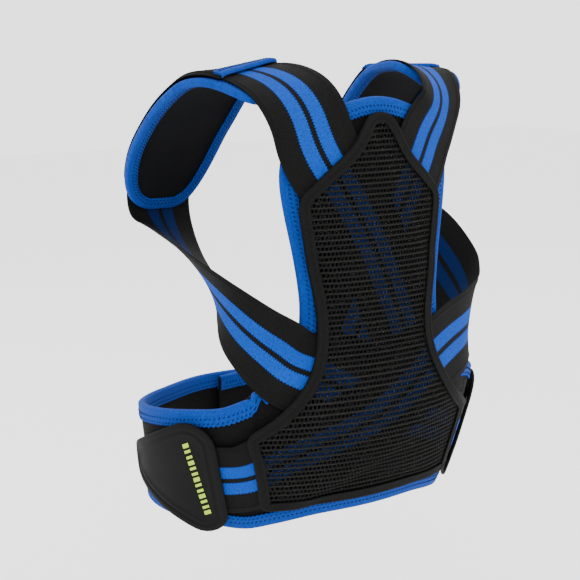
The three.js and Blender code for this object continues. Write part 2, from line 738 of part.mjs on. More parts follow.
function tabGeometry(side) {
  const place = ([along, z], lift) => {
    const s = bodySection(z);
    const reach = Math.hypot(s.halfWidth * Math.cos(1.33), s.halfDepth * Math.sin(1.33));
    const turn = side * (tabTurn + along / reach / degree);
    return onBody(turn, z, tabLift + lift).point;
  };
  const rings = [
    [9, 0],
    [0, 0],
    [-0.3, 0.4],
    [-0.3, tabThickness + tabRim - 0.5],
    [0.4, tabThickness + tabRim],
    [5, tabThickness + tabRim],
    [5.8, tabThickness],
    [9, tabThickness],
  ];
  const loops = rings.map(([inset, lift]) => tabOutline(inset).map((p) => place(p, lift)));
  const size = loops[0].length;
  const positions = loops.flat().flatMap((p) => p.toArray());
  const index = [];
  for (let r = 0; r < loops.length - 1; r++)
    for (let j = 0; j < size; j++) {
      const k = (j + 1) % size;
      index.push(r * size + j, r * size + k, (r + 1) * size + k);
      index.push(r * size + j, (r + 1) * size + k, (r + 1) * size + j);
    }
  // Each face inside the first and last ring follows the belt as a fan round inner points.
  for (const [r, lift, flip] of [
    [0, 0, true],
    [loops.length - 1, tabThickness, false],
  ]) {
    const outline = tabOutline(rings[r][0]);
    const middle = outline.reduce((m, p) => [m[0] + p[0] / size, m[1] + p[1] / size], [0, 0]);
    let outer = r * size;
    for (const shrink of [0.66, 0.33]) {
      const start = positions.length / 3;
      for (const p of outline) {
        const inner = [
          middle[0] + (p[0] - middle[0]) * shrink,
          middle[1] + (p[1] - middle[1]) * shrink,
        ];
        positions.push(...place(inner, lift).toArray());
      }
      for (let j = 0; j < size; j++) {
        const k = (j + 1) % size;
        const a = [outer + j, outer + k, start + k];
        const b = [outer + j, start + k, start + j];
        index.push(...(flip ? a.reverse() : a), ...(flip ? b.reverse() : b));
      }
      outer = start;
    }
    positions.push(...place(middle, lift).toArray());
    const centre = positions.length / 3 - 1;
    for (let j = 0; j < size; j++) {
      const face = [outer + j, outer + ((j + 1) % size), centre];
      index.push(...(flip ? face.reverse() : face));
    }
  }
  return outwardFacing(geometryOf(positions, index));
}

// Materials and assembly

const palette = {
  neoprene: { color: 0x232322, roughness: 0.9 },
  elastic: { color: 0x1f1f20, roughness: 0.8 },
  tape: { color: 0x3c7dd7, roughness: 0.7 },
  mesh: { color: 0x17171b, roughness: 0.8 },
  rubber: { color: 0x262626, roughness: 0.55 },
};

const group = new THREE.Group();
group.position.set(0, shoulderBack, -shoulderHeight);

function add(name, geometry, look) {
  const { color, roughness } = palette[look];
  const material = new THREE.MeshStandardMaterial({ color, roughness, metalness: 0 });
  const mesh = new THREE.Mesh(geometry, material);
  mesh.name = name;
  group.add(mesh);
}

const flat = [-1, -0.5, 0, 0.5, 1];
const shell = shellGrid();
const wings = { left: wingGrid(-1), right: wingGrid(1) };
const shellTop = shell.length - 1;
const straps = [];

add("back_shell", sheet(shell, 0, shellThickness), "neoprene");

// Blue tape along the neck line
const clearOfCorner = tapeLip + 2 * gap;
add(
  "neck_tape",
  edgeTape(rowPlaces(shell, shellTop), false, 0, shellThickness, tapeLip),
  "tape",
);

// Blue tape along the hem, from one belt end round the back to the other
const hemLine = [
  ...columnPlaces(wings.left, 0).reverse(),
  ...rowPlaces(wings.left, 0).slice(1),
  ...rowPlaces(shell, 0).slice(1, -1),
  ...rowPlaces(wings.right, 0).slice(0, -1),
  ...columnPlaces(wings.right, wingColumns),
];
add(
  "hem_tape",
  edgeTape(trimmed(hemLine, clearOfCorner, clearOfCorner), false, 0, shellThickness, tapeLip),
  "tape",
);

for (const side of [-1, 1]) {
  const hand = side < 0 ? "left" : "right";
  const wing = wings[hand];
  add(`belt_${hand}`, sheet(wing, 0, shellThickness), "neoprene");

  // Blue tape from the shoulder down the side of the shell and along the top of the belt
  const shellEdge = columnPlaces(shell, side < 0 ? 0 : shellColumns).slice(shellRowsBelow).reverse();
  const wingTop = rowPlaces(wing, wingRows);
  if (side < 0) wingTop.reverse();
  const upperLine = trimmed([...shellEdge, ...wingTop.slice(1)], clearOfCorner, 0);
  add(`upper_tape_${hand}`, edgeTape(upperLine, false, 0, shellThickness, tapeLip), "tape");

  const shoulder = stationsOf(shoulderRoute, side, side < 0, shoulderShares);
  const strapStations = shoulder.slice(0, backShares.length + strapEndRow + 1);
  const strap = bandGrid(strapStations, () => strapWidth / 2, flat);
  add(`shoulder_strap_${hand}`, sheet(strap, 0, strapThickness), "elastic");

  const sideRows = [...underArm[hand], ...acrossBack];
  const below = stationsOf(sideRows, side, side > 0, sideShares);
  const sideStrap = bandGrid(below, () => strapWidth / 2, flat);
  add(`side_strap_${hand}`, sheet(sideStrap, 0, strapThickness), "elastic");
  straps.push(shoulder, below);

  const padLift = -(tapeThickness + tapeClear + 6 * gap) - padThickness;
  const padStations = shoulder.slice(backShares.length);
  const padHalf = (share) => {
    const along = (share - padFrom) / (1 - padFrom);
    return (read(padOutline, "along", "half", along) * padWidth) / 2;
  };
  const pad = bandGrid(padStations, padHalf, [-1, -0.72, 0, 0.72, 1]);
  const padTop = padLift + padThickness;
  add(`shoulder_pad_${hand}`, sheet(pad, padLift, padTop), "neoprene");
  add(`pad_tape_${hand}`, edgeTape(rimOf(pad), true, padLift, padTop, tapeLip), "tape");

  // The sleeve stands clear of the strap it covers and comes down to the pad at its sides
  const across = [-1, -0.94, -0.885, 0, 0.885, 0.94, 1];
  const sleeveStations = padStations.slice(sleeveRows[0], sleeveRows[1] + 1);
  const sleeve = bandGrid(sleeveStations, (share) => padHalf(share) * 0.98, across, (place) => {
    const drop = THREE.MathUtils.smoothstep(Math.abs(place), 0.89, 0.99);
    return THREE.MathUtils.lerp(layerStep + gap, gap, drop);
  });
  add(`sleeve_${hand}`, sheet(sleeve, 0, sleeveThickness), "neoprene");
  add(
    `sleeve_tape_${hand}`,
    edgeTape(rowPlaces(sleeve, 0), false, 0, sleeveThickness, borderLip, false),
    "tape",
  );
}

const cover = coverGrid(straps);
add("mesh_cover", sheet(cover, 0, coverThickness), "mesh");
add(
  "cover_border",
  edgeTape(rimOf(cover), true, 0, coverThickness, borderLip, false),
  "elastic",
);
add("tab_left", tabGeometry(-1), "rubber");
add("tab_right", tabGeometry(1), "rubber");

export default group;
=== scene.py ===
# %% [markdown]
# # A worn posture corrector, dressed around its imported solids
#
# The real thing is sewn from flat goods: black foam neoprene, striped elastic webbing, blue
# knitted binding and a black spacer mesh. The solids already have its shapes as facets. Here each
# layer is laid out again, smooth, on the same body form and from the same pattern tables, so that
# it can carry what a facet can't: rounded edges, ridges, stitches, holes and a weave that follows
# the cloth. Lengths are in metres, and the pattern's own heights count up from the hem.

# %% Load the frame
import math

import bpy
import numpy as np
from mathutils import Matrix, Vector


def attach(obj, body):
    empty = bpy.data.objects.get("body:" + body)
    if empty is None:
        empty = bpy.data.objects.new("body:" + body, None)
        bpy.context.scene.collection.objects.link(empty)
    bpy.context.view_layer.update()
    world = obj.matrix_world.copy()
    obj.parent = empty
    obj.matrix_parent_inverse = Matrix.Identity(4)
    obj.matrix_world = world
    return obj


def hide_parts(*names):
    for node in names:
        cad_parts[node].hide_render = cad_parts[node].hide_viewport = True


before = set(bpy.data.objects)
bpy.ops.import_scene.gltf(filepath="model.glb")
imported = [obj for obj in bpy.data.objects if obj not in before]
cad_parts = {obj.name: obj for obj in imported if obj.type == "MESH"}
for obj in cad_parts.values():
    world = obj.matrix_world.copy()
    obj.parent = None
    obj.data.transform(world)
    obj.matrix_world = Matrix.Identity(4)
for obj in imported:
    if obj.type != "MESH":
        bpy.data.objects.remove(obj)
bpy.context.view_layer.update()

print("solids:", len(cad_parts))

# %% [markdown]
# ## Camera, floor and light
#
# The photograph looks at the back from its left and a little above. The camera stands 1.4 m away
# with a long lens, which is how such goods are shot. A pale floor and large soft lamps give the
# even studio light, and the world adds a white fill.

# %% Camera
IMAGE_SIDE = 580
FOCAL_PIXELS = 1409
AIM = Vector((-0.0213, 0.05, -0.2192))
AWAY = Vector((-0.5627, -0.8036, 0.1925))
CAMERA_DISTANCE = 1.4
SENSOR_WIDTH = 36
COLLECTION = bpy.context.scene.collection

camera_data = bpy.data.cameras.new("camera")
camera = bpy.data.objects.new("camera", camera_data)
COLLECTION.objects.link(camera)
camera.location = AIM + CAMERA_DISTANCE * AWAY
camera.rotation_mode = "QUATERNION"
camera.rotation_quaternion = (-AWAY).to_track_quat("-Z", "Y")
camera_data.sensor_width = SENSOR_WIDTH
camera_data.lens = SENSOR_WIDTH * FOCAL_PIXELS / IMAGE_SIDE
bpy.context.scene.camera = camera
print("lens", round(camera_data.lens, 1), "mm")

# %% Floor, lamps and world
FLOOR_HEIGHT, FLOOR_REACH = -0.70, 6
WORLD_STRENGTH = 2.4
PLAIN_SHINE, CLOTH_SHINE = 0.08, 0.07


def plain_material(name, colour, roughness):
    made = bpy.data.materials.new(name)
    made.use_nodes = True
    shader = made.node_tree.nodes["Principled BSDF"]
    shader.inputs["Base Color"].default_value = (*colour, 1)
    shader.inputs["Roughness"].default_value = roughness
    shader.inputs["Specular IOR Level"].default_value = PLAIN_SHINE
    return made


floor_mesh = bpy.data.meshes.new("floor")
floor_mesh.from_pydata(
    [(x * FLOOR_REACH, y * FLOOR_REACH, FLOOR_HEIGHT)
     for x, y in ((-1, -1), (1, -1), (1, 1), (-1, 1))], [], [(0, 1, 2, 3)]
)
floor_mesh.materials.append(plain_material("pale floor", (0.95, 0.95, 0.95), 0.7))
floor = bpy.data.objects.new("floor", floor_mesh)
COLLECTION.objects.link(floor)

LAMPS = [
    dict(name="key", at=(-1.6, -1.7, 1.3), size=1.6, watts=34),
    dict(name="fill", at=(1.7, -1.5, 0.5), size=1.8, watts=12),
    dict(name="top", at=(0.1, 0.5, 1.9), size=1.6, watts=16),
    dict(name="front", at=(-0.6, 2.0, 0.6), size=1.8, watts=8),
]
for lamp in LAMPS:
    data = bpy.data.lights.new(lamp["name"], "AREA")
    data.size = lamp["size"]
    data.energy = lamp["watts"]
    light = bpy.data.objects.new(lamp["name"], data)
    COLLECTION.objects.link(light)
    light.location = lamp["at"]
    toward = AIM - Vector(lamp["at"])
    light.rotation_euler = toward.to_track_quat("-Z", "Y").to_euler()

world = bpy.data.worlds.new("white studio")
bpy.context.scene.world = world
world.use_nodes = True
sky = world.node_tree.nodes["Background"].inputs
sky["Color"].default_value = (1, 1, 1, 1)
sky["Strength"].default_value = WORLD_STRENGTH
print("lamps:", ", ".join(lamp["name"] for lamp in LAMPS))

# %% [markdown]
# ## The pattern
#
# A sewn product starts from a paper pattern with sizes and curves. These are the named sizes and
# tables of the part's source. Only the cover's first and last rows differ, and further on its
# right edge, the tape of the pads and the right sleeve's start: they follow the photograph more
# closely. Heights are shares of the back's height, widths shares of the waist's half width, and a
# strap's way is a short list of points. Reading the tables with one smooth curve keeps the
# cloth's lines fair between the rows.

# %% Sizes of the pattern, in metres
BACK_HEIGHT = 0.402
BELT_HEIGHT = 0.125
WAIST_HALF_WIDTH = 0.179
WAIST_HALF_DEPTH = 0.127
SHOULDER_HEIGHT = 0.431
SHOULDER_SPREAD = 0.106
SHOULDER_BACK = 0.050
CHEST_REACH = 0.098
SHELL_THICKNESS = 0.003
STRAP_WIDTH = 0.075
STRAP_THICKNESS = 0.0015
COVER_THICKNESS = 0.0014
PAD_WIDTH = 0.096
PAD_THICKNESS = 0.0036
SLEEVE_THICKNESS = 0.0014
TAPE_THICKNESS = 0.0009
TAPE_LIP = 0.013
BORDER_LIP = 0.008
GAP = 0.0003
TAPE_CLEAR = 0.0014
STRAP_REST = SHELL_THICKNESS + TAPE_CLEAR + TAPE_THICKNESS + 3 * GAP
LAYER_STEP = STRAP_THICKNESS + 4 * GAP
TAPE_OUTER = TAPE_CLEAR + TAPE_THICKNESS
STITCH_PITCH, BORDER_PITCH = 0.0042, 0.003
HOLE_ACROSS, HOLE_UP = 0.0036, 0.0049
HOLE_HALF_WIDTH, HOLE_HALF_HEIGHT = 0.0012, 0.0018
TO_FRAME = np.array([0, SHOULDER_BACK, -SHOULDER_HEIGHT])

# %% Tables of the body form
def table(columns, rows):
    """The rows as dicts; a row that ends early leaves its last columns out."""
    return [dict(zip(columns.split(), row)) for row in rows]


BODY_SECTIONS = table("height halfWidth halfDepth forward aside", [
    (0, 0.89, 0.88, 0.18, 0.02),
    (0.15, 0.95, 0.94, 0.06, 0.01),
    (0.31, 1, 0.99, -0.03, 0),
    (0.48, 0.97, 0.93, -0.03, 0),
    (0.8, 0.95, 0.87, -0.03, 0),
    (1.05, 0.95, 0.83, -0.02, 0),
])
BACK_DRIFT = table("height aside", [
    (0.05, 0.014), (0.2, -0.02), (0.3, -0.06), (0.38, -0.058), (0.54, -0.045), (0.8, -0.033),
    (1, -0.024),
])
BELT_EDGES = table("turn top hem", [
    (0, 1.13, 0.13), (20, 1.13, 0.12), (36, 1.13, 0.06), (46, 1.09, 0.02), (56, 1.01, 0.04),
    (68, 0.98, 0.065), (95, 0.915, 0.09), (130, 0.83, 0.08), (195, 0.76, 0.06),
])
SHELL_SIDES = table("height half", [
    (0.33, 0.7), (0.35, 0.655), (0.37, 0.595), (0.395, 0.525), (0.425, 0.467), (0.46, 0.433),
    (0.54, 0.418), (0.6, 0.428), (0.68, 0.456), (0.76, 0.49), (0.83, 0.51), (0.9, 0.5),
])

# %% Tables of the straps and the pads
LAID = "across height rise"
FREE = "across forward height outX outY outZ twist"
SHOULDER_ROUTE = table(LAID, [
    (-0.245, 0.44, 1), (-0.13, 0.51, 1), (0.02, 0.6, 1), (0.2, 0.69, 1), (0.35, 0.756, 1),
    (0.495, 0.811, 0.8), (0.58, 0.858, 0.3),
]) + table(FREE, [
    (0.7, -1.095, 0.897, 0.32, -0.91, 0.25, 0.2),
    (0.75, -1.08, 0.924, 0.3, -0.85, 0.43, 0.25),
    (0.795, -0.99, 0.955, 0.26, -0.7, 0.66, 0.22),
    (0.84, -0.8, 0.981, 0.2, -0.46, 0.86, 0.12),
    (0.905, -0.57, 0.995, 0.15, -0.2, 0.97),
    (0.97, -0.34, 0.998, 0.11, 0.08, 0.99),
    (1.02, -0.1, 0.984, 0.08, 0.42, 0.9),
    (1.05, 0.13, 0.95, 0.06, 0.66, 0.75),
    (1.067, 0.36, 0.903, 0.02, 0.76, 0.64),
    (1.072, 0.67, 0.832, 0, 0.86, 0.5),
    (1.092, 0.9, 0.748, 0.02, 0.93, 0.34),
    (1.1, 1, 0.685, 0.05, 0.98, 0.15),
])
UNDER_ARM = {
    "left": table(FREE, [
        (1.092, 0.9, 0.748, 0.02, 0.93, 0.34),
        (1.1, 1.005, 0.69, 0.05, 0.98, 0.12),
        (1.085, 1.02, 0.66, 0.12, 0.95, -0.2),
        (1.05, 0.9, 0.63, 0.3, 0.68, -0.64),
        (1.13, 0.51, 0.603, 0.5, 0.35, -0.78),
        (1.24, 0.05, 0.591, 0.61, 0.24, -0.75),
        (1.325, -0.34, 0.559, 0.78, 0.2, -0.58),
        (1.335, -0.61, 0.522, 0.92, 0.02, -0.38),
        (1.285, -0.82, 0.483, 0.92, -0.3, -0.24),
        (1.17, -1, 0.442, 0.8, -0.57, -0.14),
        (1.02, -1.09, 0.41, 0.5, -0.86, -0.03),
    ]),
    "right": table(FREE, [
        (1.092, 0.9, 0.748, 0.02, 0.93, 0.34),
        (1.105, 1.005, 0.69, 0.05, 0.98, 0.12),
        (1.17, 1.02, 0.655, 0.2, 0.93, -0.25),
        (1.37, 0.7, 0.635, 0.5, 0.65, -0.55),
        (1.57, 0.306, 0.595, 0.66, 0.3, -0.68),
        (1.65, 0.05, 0.53, 0.72, 0.08, -0.68),
        (1.64, -0.2, 0.484, 0.78, -0.12, -0.6),
        (1.56, -0.46, 0.45, 0.84, -0.4, -0.35),
        (1.42, -0.68, 0.43, 0.82, -0.54, -0.2),
        (1.1, -1.035, 0.408, 0.56, -0.82, -0.06),
    ]),
}
ACROSS_BACK = table(LAID, [
    (0.8, 0.382, 1), (0.6, 0.362, 1), (0, 0.277, 1), (-0.83, 0.193, 1), (-1.06, 0.15, 1),
    (-1.25, 0.137, 0.1), (-1.46, 0.136, 0),
])
PAD_OUTLINE = table("along half", [
    (0, 0.5), (0.03, 0.69), (0.075, 0.8), (0.13, 0.85), (0.185, 0.875), (0.24, 0.9),
    (0.3, 0.925), (0.36, 0.95), (0.43, 0.97), (0.5, 0.99), (0.57, 1), (0.64, 1), (0.71, 0.995),
    (0.78, 0.975), (0.84, 0.93), (0.89, 0.865), (0.935, 0.765), (0.972, 0.61), (1, 0.36),
])

# %% Tables of the cover and the tabs
COVER_ROWS = table("height half", [
    (0.076, 0.593), (0.085, 0.6), (0.14, 0.62), (0.2, 0.645), (0.262, 0.665), (0.285, 0.6),
    (0.315, 0.52), (0.355, 0.44), (0.4, 0.38), (0.45, 0.35), (0.51, 0.345), (0.58, 0.365),
    (0.65, 0.395), (0.72, 0.42), (0.79, 0.43), (0.815, 0.375), (0.845, 0.305), (0.875, 0.225),
    (0.905, 0.155), (0.94, 0.105), (0.972, 0.052),
])
TAB_CORNERS = table("along up round", [
    (-0.15, -0.09, 0.15), (1.04, 0.46, 0.17), (0.0, 1.03, 0.2),
])


# %% Reading a table along a smooth curve
def read(rows, along, column, place):
    """The column's value at each place, on a curve that passes through every row."""
    a = np.array([row[along] for row in rows], float)
    b = np.array([row[column] for row in rows], float)
    place = np.clip(np.asarray(place, float), a[0], a[-1])
    low = np.maximum(np.arange(len(a)) - 1, 0)
    high = np.minimum(np.arange(len(a)) + 1, len(a) - 1)
    slope = (b[high] - b[low]) / (a[high] - a[low])
    i = np.clip(np.searchsorted(a, place, side="right") - 1, 0, len(a) - 2)
    h = a[i + 1] - a[i]
    t = (place - a[i]) / h
    return (
        (2 * t**3 - 3 * t**2 + 1) * b[i]
        + (t**3 - 2 * t**2 + t) * h * slope[i]
        + (3 * t**2 - 2 * t**3) * b[i + 1]
        + (t**3 - t**2) * h * slope[i + 1]
    )


def smoothstep(x, low, high):
    t = np.clip((np.asarray(x, float) - low) / (high - low), 0, 1)
    return t * t * (3 - 2 * t)


def unit(v):
    return v / np.linalg.norm(v, axis=-1, keepdims=True)


print("belt top at the side:", read(BELT_EDGES, "turn", "top", 68) * BELT_HEIGHT)


# %% The body form that the brace is worn on
def section(z):
    """Half width, half depth, forward and sideways shift of the body's ellipse at a height."""
    at = [
        read(BODY_SECTIONS, "height", column, z / BACK_HEIGHT)
        for column in ("halfWidth", "halfDepth", "forward", "aside")
    ]
    return (
        at[0] * WAIST_HALF_WIDTH,
        at[1] * WAIST_HALF_DEPTH,
        at[2] * WAIST_HALF_DEPTH,
        at[3] * WAIST_HALF_WIDTH,
    )


def body_point(turn, z):
    width, depth, forward, aside = section(z)
    angle = np.radians(turn)
    return np.stack([aside + width * np.sin(angle), forward - depth * np.cos(angle), z], -1)


def on_body(turn, z, lift=0.0):
    """Points on the body at a turn in degrees and a height, with their outward normals."""
    turn, z = np.broadcast_arrays(np.asarray(turn, float), np.asarray(z, float))
    step_turn, step_up = 0.5, 0.0005
    aside = body_point(turn + step_turn, z) - body_point(turn - step_turn, z)
    up = body_point(turn, z + step_up) - body_point(turn, z - step_up)
    normal = unit(np.cross(aside, up))
    return body_point(turn, z) + normal * np.expand_dims(lift + np.zeros(turn.shape), -1), normal


def on_back(across, z, lift=0.0):
    """The same at a distance from the back panel's drifting middle line."""
    width, _, _, aside = section(z)
    drift = read(BACK_DRIFT, "height", "aside", z / BACK_HEIGHT) * WAIST_HALF_WIDTH
    share = np.clip((across + drift - aside) / width, -0.999, 0.999)
    return on_body(np.degrees(np.arcsin(share)), z, lift)


SIDE_LIMIT, PANEL_LIMIT = 0.97, 0.48


def body_under(point):
    """The body in front of points behind it, going on straight beside the back panel."""
    z = point[..., 2]
    width, _, _, aside = section(z)
    limit = SIDE_LIMIT + (PANEL_LIMIT - SIDE_LIMIT) * smoothstep(z / BACK_HEIGHT, 0.3, 0.45)
    share = (point[..., 0] - aside) / width
    kept = np.clip(share, -limit, limit)
    on, normal = on_body(np.degrees(np.arcsin(kept)), z)
    beyond = (share - kept) * width
    on = on + np.stack([beyond, -beyond * normal[..., 0] / normal[..., 1], 0 * beyond], -1)
    return on, normal


print("waist loop:", round(4 * np.mean([WAIST_HALF_WIDTH, WAIST_HALF_DEPTH]) * math.pi / 2, 2), "m")


# %% Grids of the belt and the back shell
SEAM_TURN = 44
CLOSURE_LAP = 9
LAP_LIFT = SHELL_THICKNESS + 2 * (TAPE_THICKNESS + TAPE_CLEAR) + GAP
SHELL_SHOULDER = 0.87 * BACK_HEIGHT


def belt_top(turn):
    return read(BELT_EDGES, "turn", "top", np.abs(turn)) * BELT_HEIGHT


def belt_hem(turn):
    return read(BELT_EDGES, "turn", "hem", np.abs(turn)) * BELT_HEIGHT


def shell_half(z):
    return read(SHELL_SIDES, "height", "half", z / BACK_HEIGHT) * WAIST_HALF_WIDTH


def wing_grid(side, rows=14, columns=110):
    turn = side * np.linspace(SEAM_TURN, 180 + CLOSURE_LAP, columns + 1)
    if side < 0:
        turn = turn[::-1]
    part = np.linspace(0, 1, rows + 1)[:, None]
    z = belt_hem(turn) * (1 - part) + belt_top(turn) * part
    lift = 0 if side > 0 else LAP_LIFT * smoothstep(np.abs(turn), 140, 168)
    return on_body(turn[None, :] + 0 * z, z, lift + 0 * z)


def shell_grid(columns=44, below=12, sides=60, top=10):
    share = np.linspace(-1, 1, columns + 1)
    low = belt_top(SEAM_TURN)
    turn = share * (SEAM_TURN - 0.12)
    rows = []
    for part in np.linspace(0, 1, below + 1):
        rows.append(on_body(turn, belt_hem(turn) * (1 - part) + low * part))
    for part in np.linspace(0, 1, sides + 1)[1:]:
        z = low + (SHELL_SHOULDER - low) * part**1.5 + 0 * share
        rows.append(on_back(share * shell_half(z), z))
    neck = BACK_HEIGHT * (1.008 - 0.085 * np.abs(share) ** 1.9)
    for part in np.linspace(0, 1, top + 1)[1:]:
        half = shell_half(SHELL_SHOULDER) * (1 - 0.06 * part)
        rows.append(on_back(share * half, SHELL_SHOULDER * (1 - part) + neck * part))
    return np.array([r[0] for r in rows]), np.array([r[1] for r in rows])


wings = {"left": wing_grid(-1), "right": wing_grid(1)}
shell = shell_grid()
print("shell grid", shell[0].shape, "wing grid", wings["left"][0].shape)

# %% [markdown]
# ## The ways of the straps
#
# A strap is a flat band that bends along its length but not across. Its way is a curve through
# the table's points, and at each point the band also has a facing. Laying the band is then a
# matter of stepping out sideways from the curve. Where it lies on the back panel, the step is
# brought onto the body, one layer higher where one strap passes over another.

# %% Curves through a table's points
def spline(points, t, centripetal):
    """A Catmull-Rom curve through the points, read at t from 0 to 1."""
    p = np.vstack([2 * points[0] - points[1], points, 2 * points[-1] - points[-2]])
    place = np.clip(t, 0, 1) * (len(points) - 1)
    i = np.minimum(place.astype(int), len(points) - 2)
    w = (place - i)[:, None]
    p0, p1, p2, p3 = p[i], p[i + 1], p[i + 2], p[i + 3]
    if centripetal:
        d0, d1, d2 = (np.sqrt(np.linalg.norm(b - a, axis=1))[:, None] for a, b in
                      ((p0, p1), (p1, p2), (p2, p3)))
        t1 = ((p1 - p0) / d0 - (p2 - p0) / (d0 + d1) + (p2 - p1) / d1) * d1
        t2 = ((p2 - p1) / d1 - (p3 - p1) / (d1 + d2) + (p3 - p2) / d2) * d1
    else:
        t1, t2 = (p2 - p0) / 2, (p3 - p1) / 2
    return (p1 + t1 * w + (3 * (p2 - p1) - 2 * t1 - t2) * w**2
            + (2 * (p1 - p2) + t1 + t2) * w**3)


def place_of(row, side, upper):
    across, height = side * row["across"] * SHOULDER_SPREAD, row["height"] * SHOULDER_HEIGHT
    if "rise" in row:
        point, normal = on_back(across, height, STRAP_REST + upper * row["rise"] * LAYER_STEP)
        return point, normal
    twist = row.get("twist", 0) if side > 0 else 0
    normal = unit(np.array([side * (row["outX"] + twist), row["outY"], row["outZ"]]))
    return np.array([across, row["forward"] * CHEST_REACH, height]), normal


class Way:
    """Stations along a strap at shares of its length."""

    def __init__(self, rows, side, upper, shares):
        places = [place_of(row, side, upper) for row in rows]
        points = np.array([point for point, _ in places])
        facings = np.array([normal for _, normal in places])
        t = np.linspace(0, 1, 401)
        line = spline(points, t, True)
        run = np.append(0, np.cumsum(np.linalg.norm(np.diff(line, axis=0), axis=1)))
        self.length = run[-1]
        self.share = np.asarray(shares)
        t = np.interp(self.share * run[-1], run, t)
        self.point = spline(points, t, True)
        tangent = unit(spline(points, t + 1e-4, True) - spline(points, t - 1e-4, True))
        facing = spline(facings, t, False)
        self.normal = unit(facing - (facing * tangent).sum(1)[:, None] * tangent)
        self.across = unit(np.cross(self.normal, tangent))
        k = np.minimum((t * (len(rows) - 1)).astype(int), len(rows) - 2)
        w = t * (len(rows) - 1) - k
        laid = np.array(["rise" in row for row in rows], float)
        rise = []
        for i, row in enumerate(rows):
            # A free row takes the rise of the laid row beside it
            beside = (row, rows[max(i - 1, 0)], rows[min(i + 1, len(rows) - 1)])
            rise.append(next((r["rise"] for r in beside if "rise" in r), 0))
        rise = np.array(rise)
        self.laid = laid[k] * (1 - w) + laid[k + 1] * w
        self.lift = STRAP_REST + upper * (rise[k] * (1 - w) + rise[k + 1] * w) * LAYER_STEP


REST_REACH = 0.007
LETS_GO = 0.03


def band_grid(way, half_widths, places, lifts=0.0):
    """Points and normals across each station; places are shares of the half width."""
    offset = np.broadcast_to(half_widths, way.share.shape)[:, None] * np.asarray(places)[None, :]
    point = way.point[:, None] + way.across[:, None] * offset[..., None]
    normal = np.repeat(way.normal[:, None], len(places), 1)
    on, on_normal = body_under(point)
    laid = way.laid[:, None, None]
    lift = way.lift[:, None, None]
    point = point * (1 - laid) + (on + on_normal * lift) * laid
    normal = unit(normal * (1 - laid) + on_normal * laid)
    height = ((point - on) * on_normal).sum(-1, keepdims=True)
    resting = (height < lift) & (point[..., 2:] < SHELL_SHOULDER)
    share = np.where(resting, smoothstep(height, -REST_REACH, -REST_REACH / 2), 0)
    held = 1 - smoothstep(point[..., 2:], SHELL_SHOULDER - LETS_GO, SHELL_SHOULDER)
    push = share * held * (lift - height)
    for _ in range(int(40 * (len(way.share) / 200) ** 2)):
        soft = np.pad(push, ((1, 1), (0, 0), (0, 0)), mode="edge")
        push = (soft[:-2] + 2 * push + soft[2:]) / 4
    point = point + on_normal * push
    return point + normal * (np.asarray(lifts) + np.zeros(len(places)))[None, :, None], normal


# %% Lay the straps, pads and sleeves
PAD_FROM = 0.5
PAD_ALONG = [row["along"] for row in PAD_OUTLINE]
STRAP_END = PAD_FROM + PAD_ALONG[12] * (1 - PAD_FROM)
SLEEVE_SPAN = [PAD_FROM + PAD_ALONG[i] * (1 - PAD_FROM) for i in (4, 15)]
PAD_LIFT = -(TAPE_THICKNESS + TAPE_CLEAR + 6 * GAP) - PAD_THICKNESS
SIDES = {"left": -1, "right": 1}
STRAP_PLACES = np.sin(np.linspace(-1, 1, 33) * np.pi / 2)


def pad_half(share):
    return read(PAD_OUTLINE, "along", "half", (share - PAD_FROM) / (1 - PAD_FROM)) * PAD_WIDTH / 2


def shoulder_way(side, shares):
    return Way(SHOULDER_ROUTE, side, side < 0, shares)


def straps_of(hand, shoulder_stations, side_stations):
    """Both straps of a side, each with a number of stations."""
    side = SIDES[hand]
    return {
        "shoulder_strap": shoulder_way(side, np.linspace(0, STRAP_END, shoulder_stations)),
        "side_strap": Way(UNDER_ARM[hand] + ACROSS_BACK, side, side > 0,
                          np.linspace(0, 1, side_stations)),
    }


strap_grids, strap_ways, lengths = {}, [], {}
for hand in SIDES:
    for kind, way in straps_of(hand, 220, 330).items():
        strap_grids[f"{kind}_{hand}"] = band_grid(way, STRAP_WIDTH / 2, STRAP_PLACES)
        strap_ways.append(way)
        lengths[f"{kind}_{hand}"] = way.length * (way.share[-1] - way.share[0])
print({name: round(length, 3) for name, length in lengths.items()})


# %% The surface of the mesh cover
COVER_LEVEL = 0.87
COVER_CLEAR = 4 * GAP
COVER_SLOPE = 0.022
COVER_ROUNDS = 6
COVER_TUCK = 0.0065


def straps_under(points):
    """How high above the body the straps below the points reach."""
    flat = points.reshape(-1, 3)
    top = np.full(len(flat), STRAP_REST)
    for way in strap_ways:
        on = way.laid > 0.5
        gap = np.linalg.norm(flat[:, None] - way.point[on][None, ::3], axis=2)
        nearest = gap.argmin(1)
        beyond = gap.min(1) - STRAP_WIDTH / 2
        share = 1 - smoothstep(beyond, COVER_SLOPE / 2, COVER_SLOPE)
        lift = way.lift[on][::3][nearest] + STRAP_THICKNESS + COVER_CLEAR
        top = np.maximum(top, STRAP_REST + (lift - STRAP_REST) * share)
    return top.reshape(points.shape[:-1])


def cover_half(height, place=0):
    """Its half width; on the right it stops short, so that the panel's blue edge shows."""
    half = read(COVER_ROWS, "height", "half", height) * WAIST_HALF_WIDTH
    return half - np.where(np.asarray(place) > 0, COVER_TUCK * smoothstep(half, 0.02, 0.05), 0)


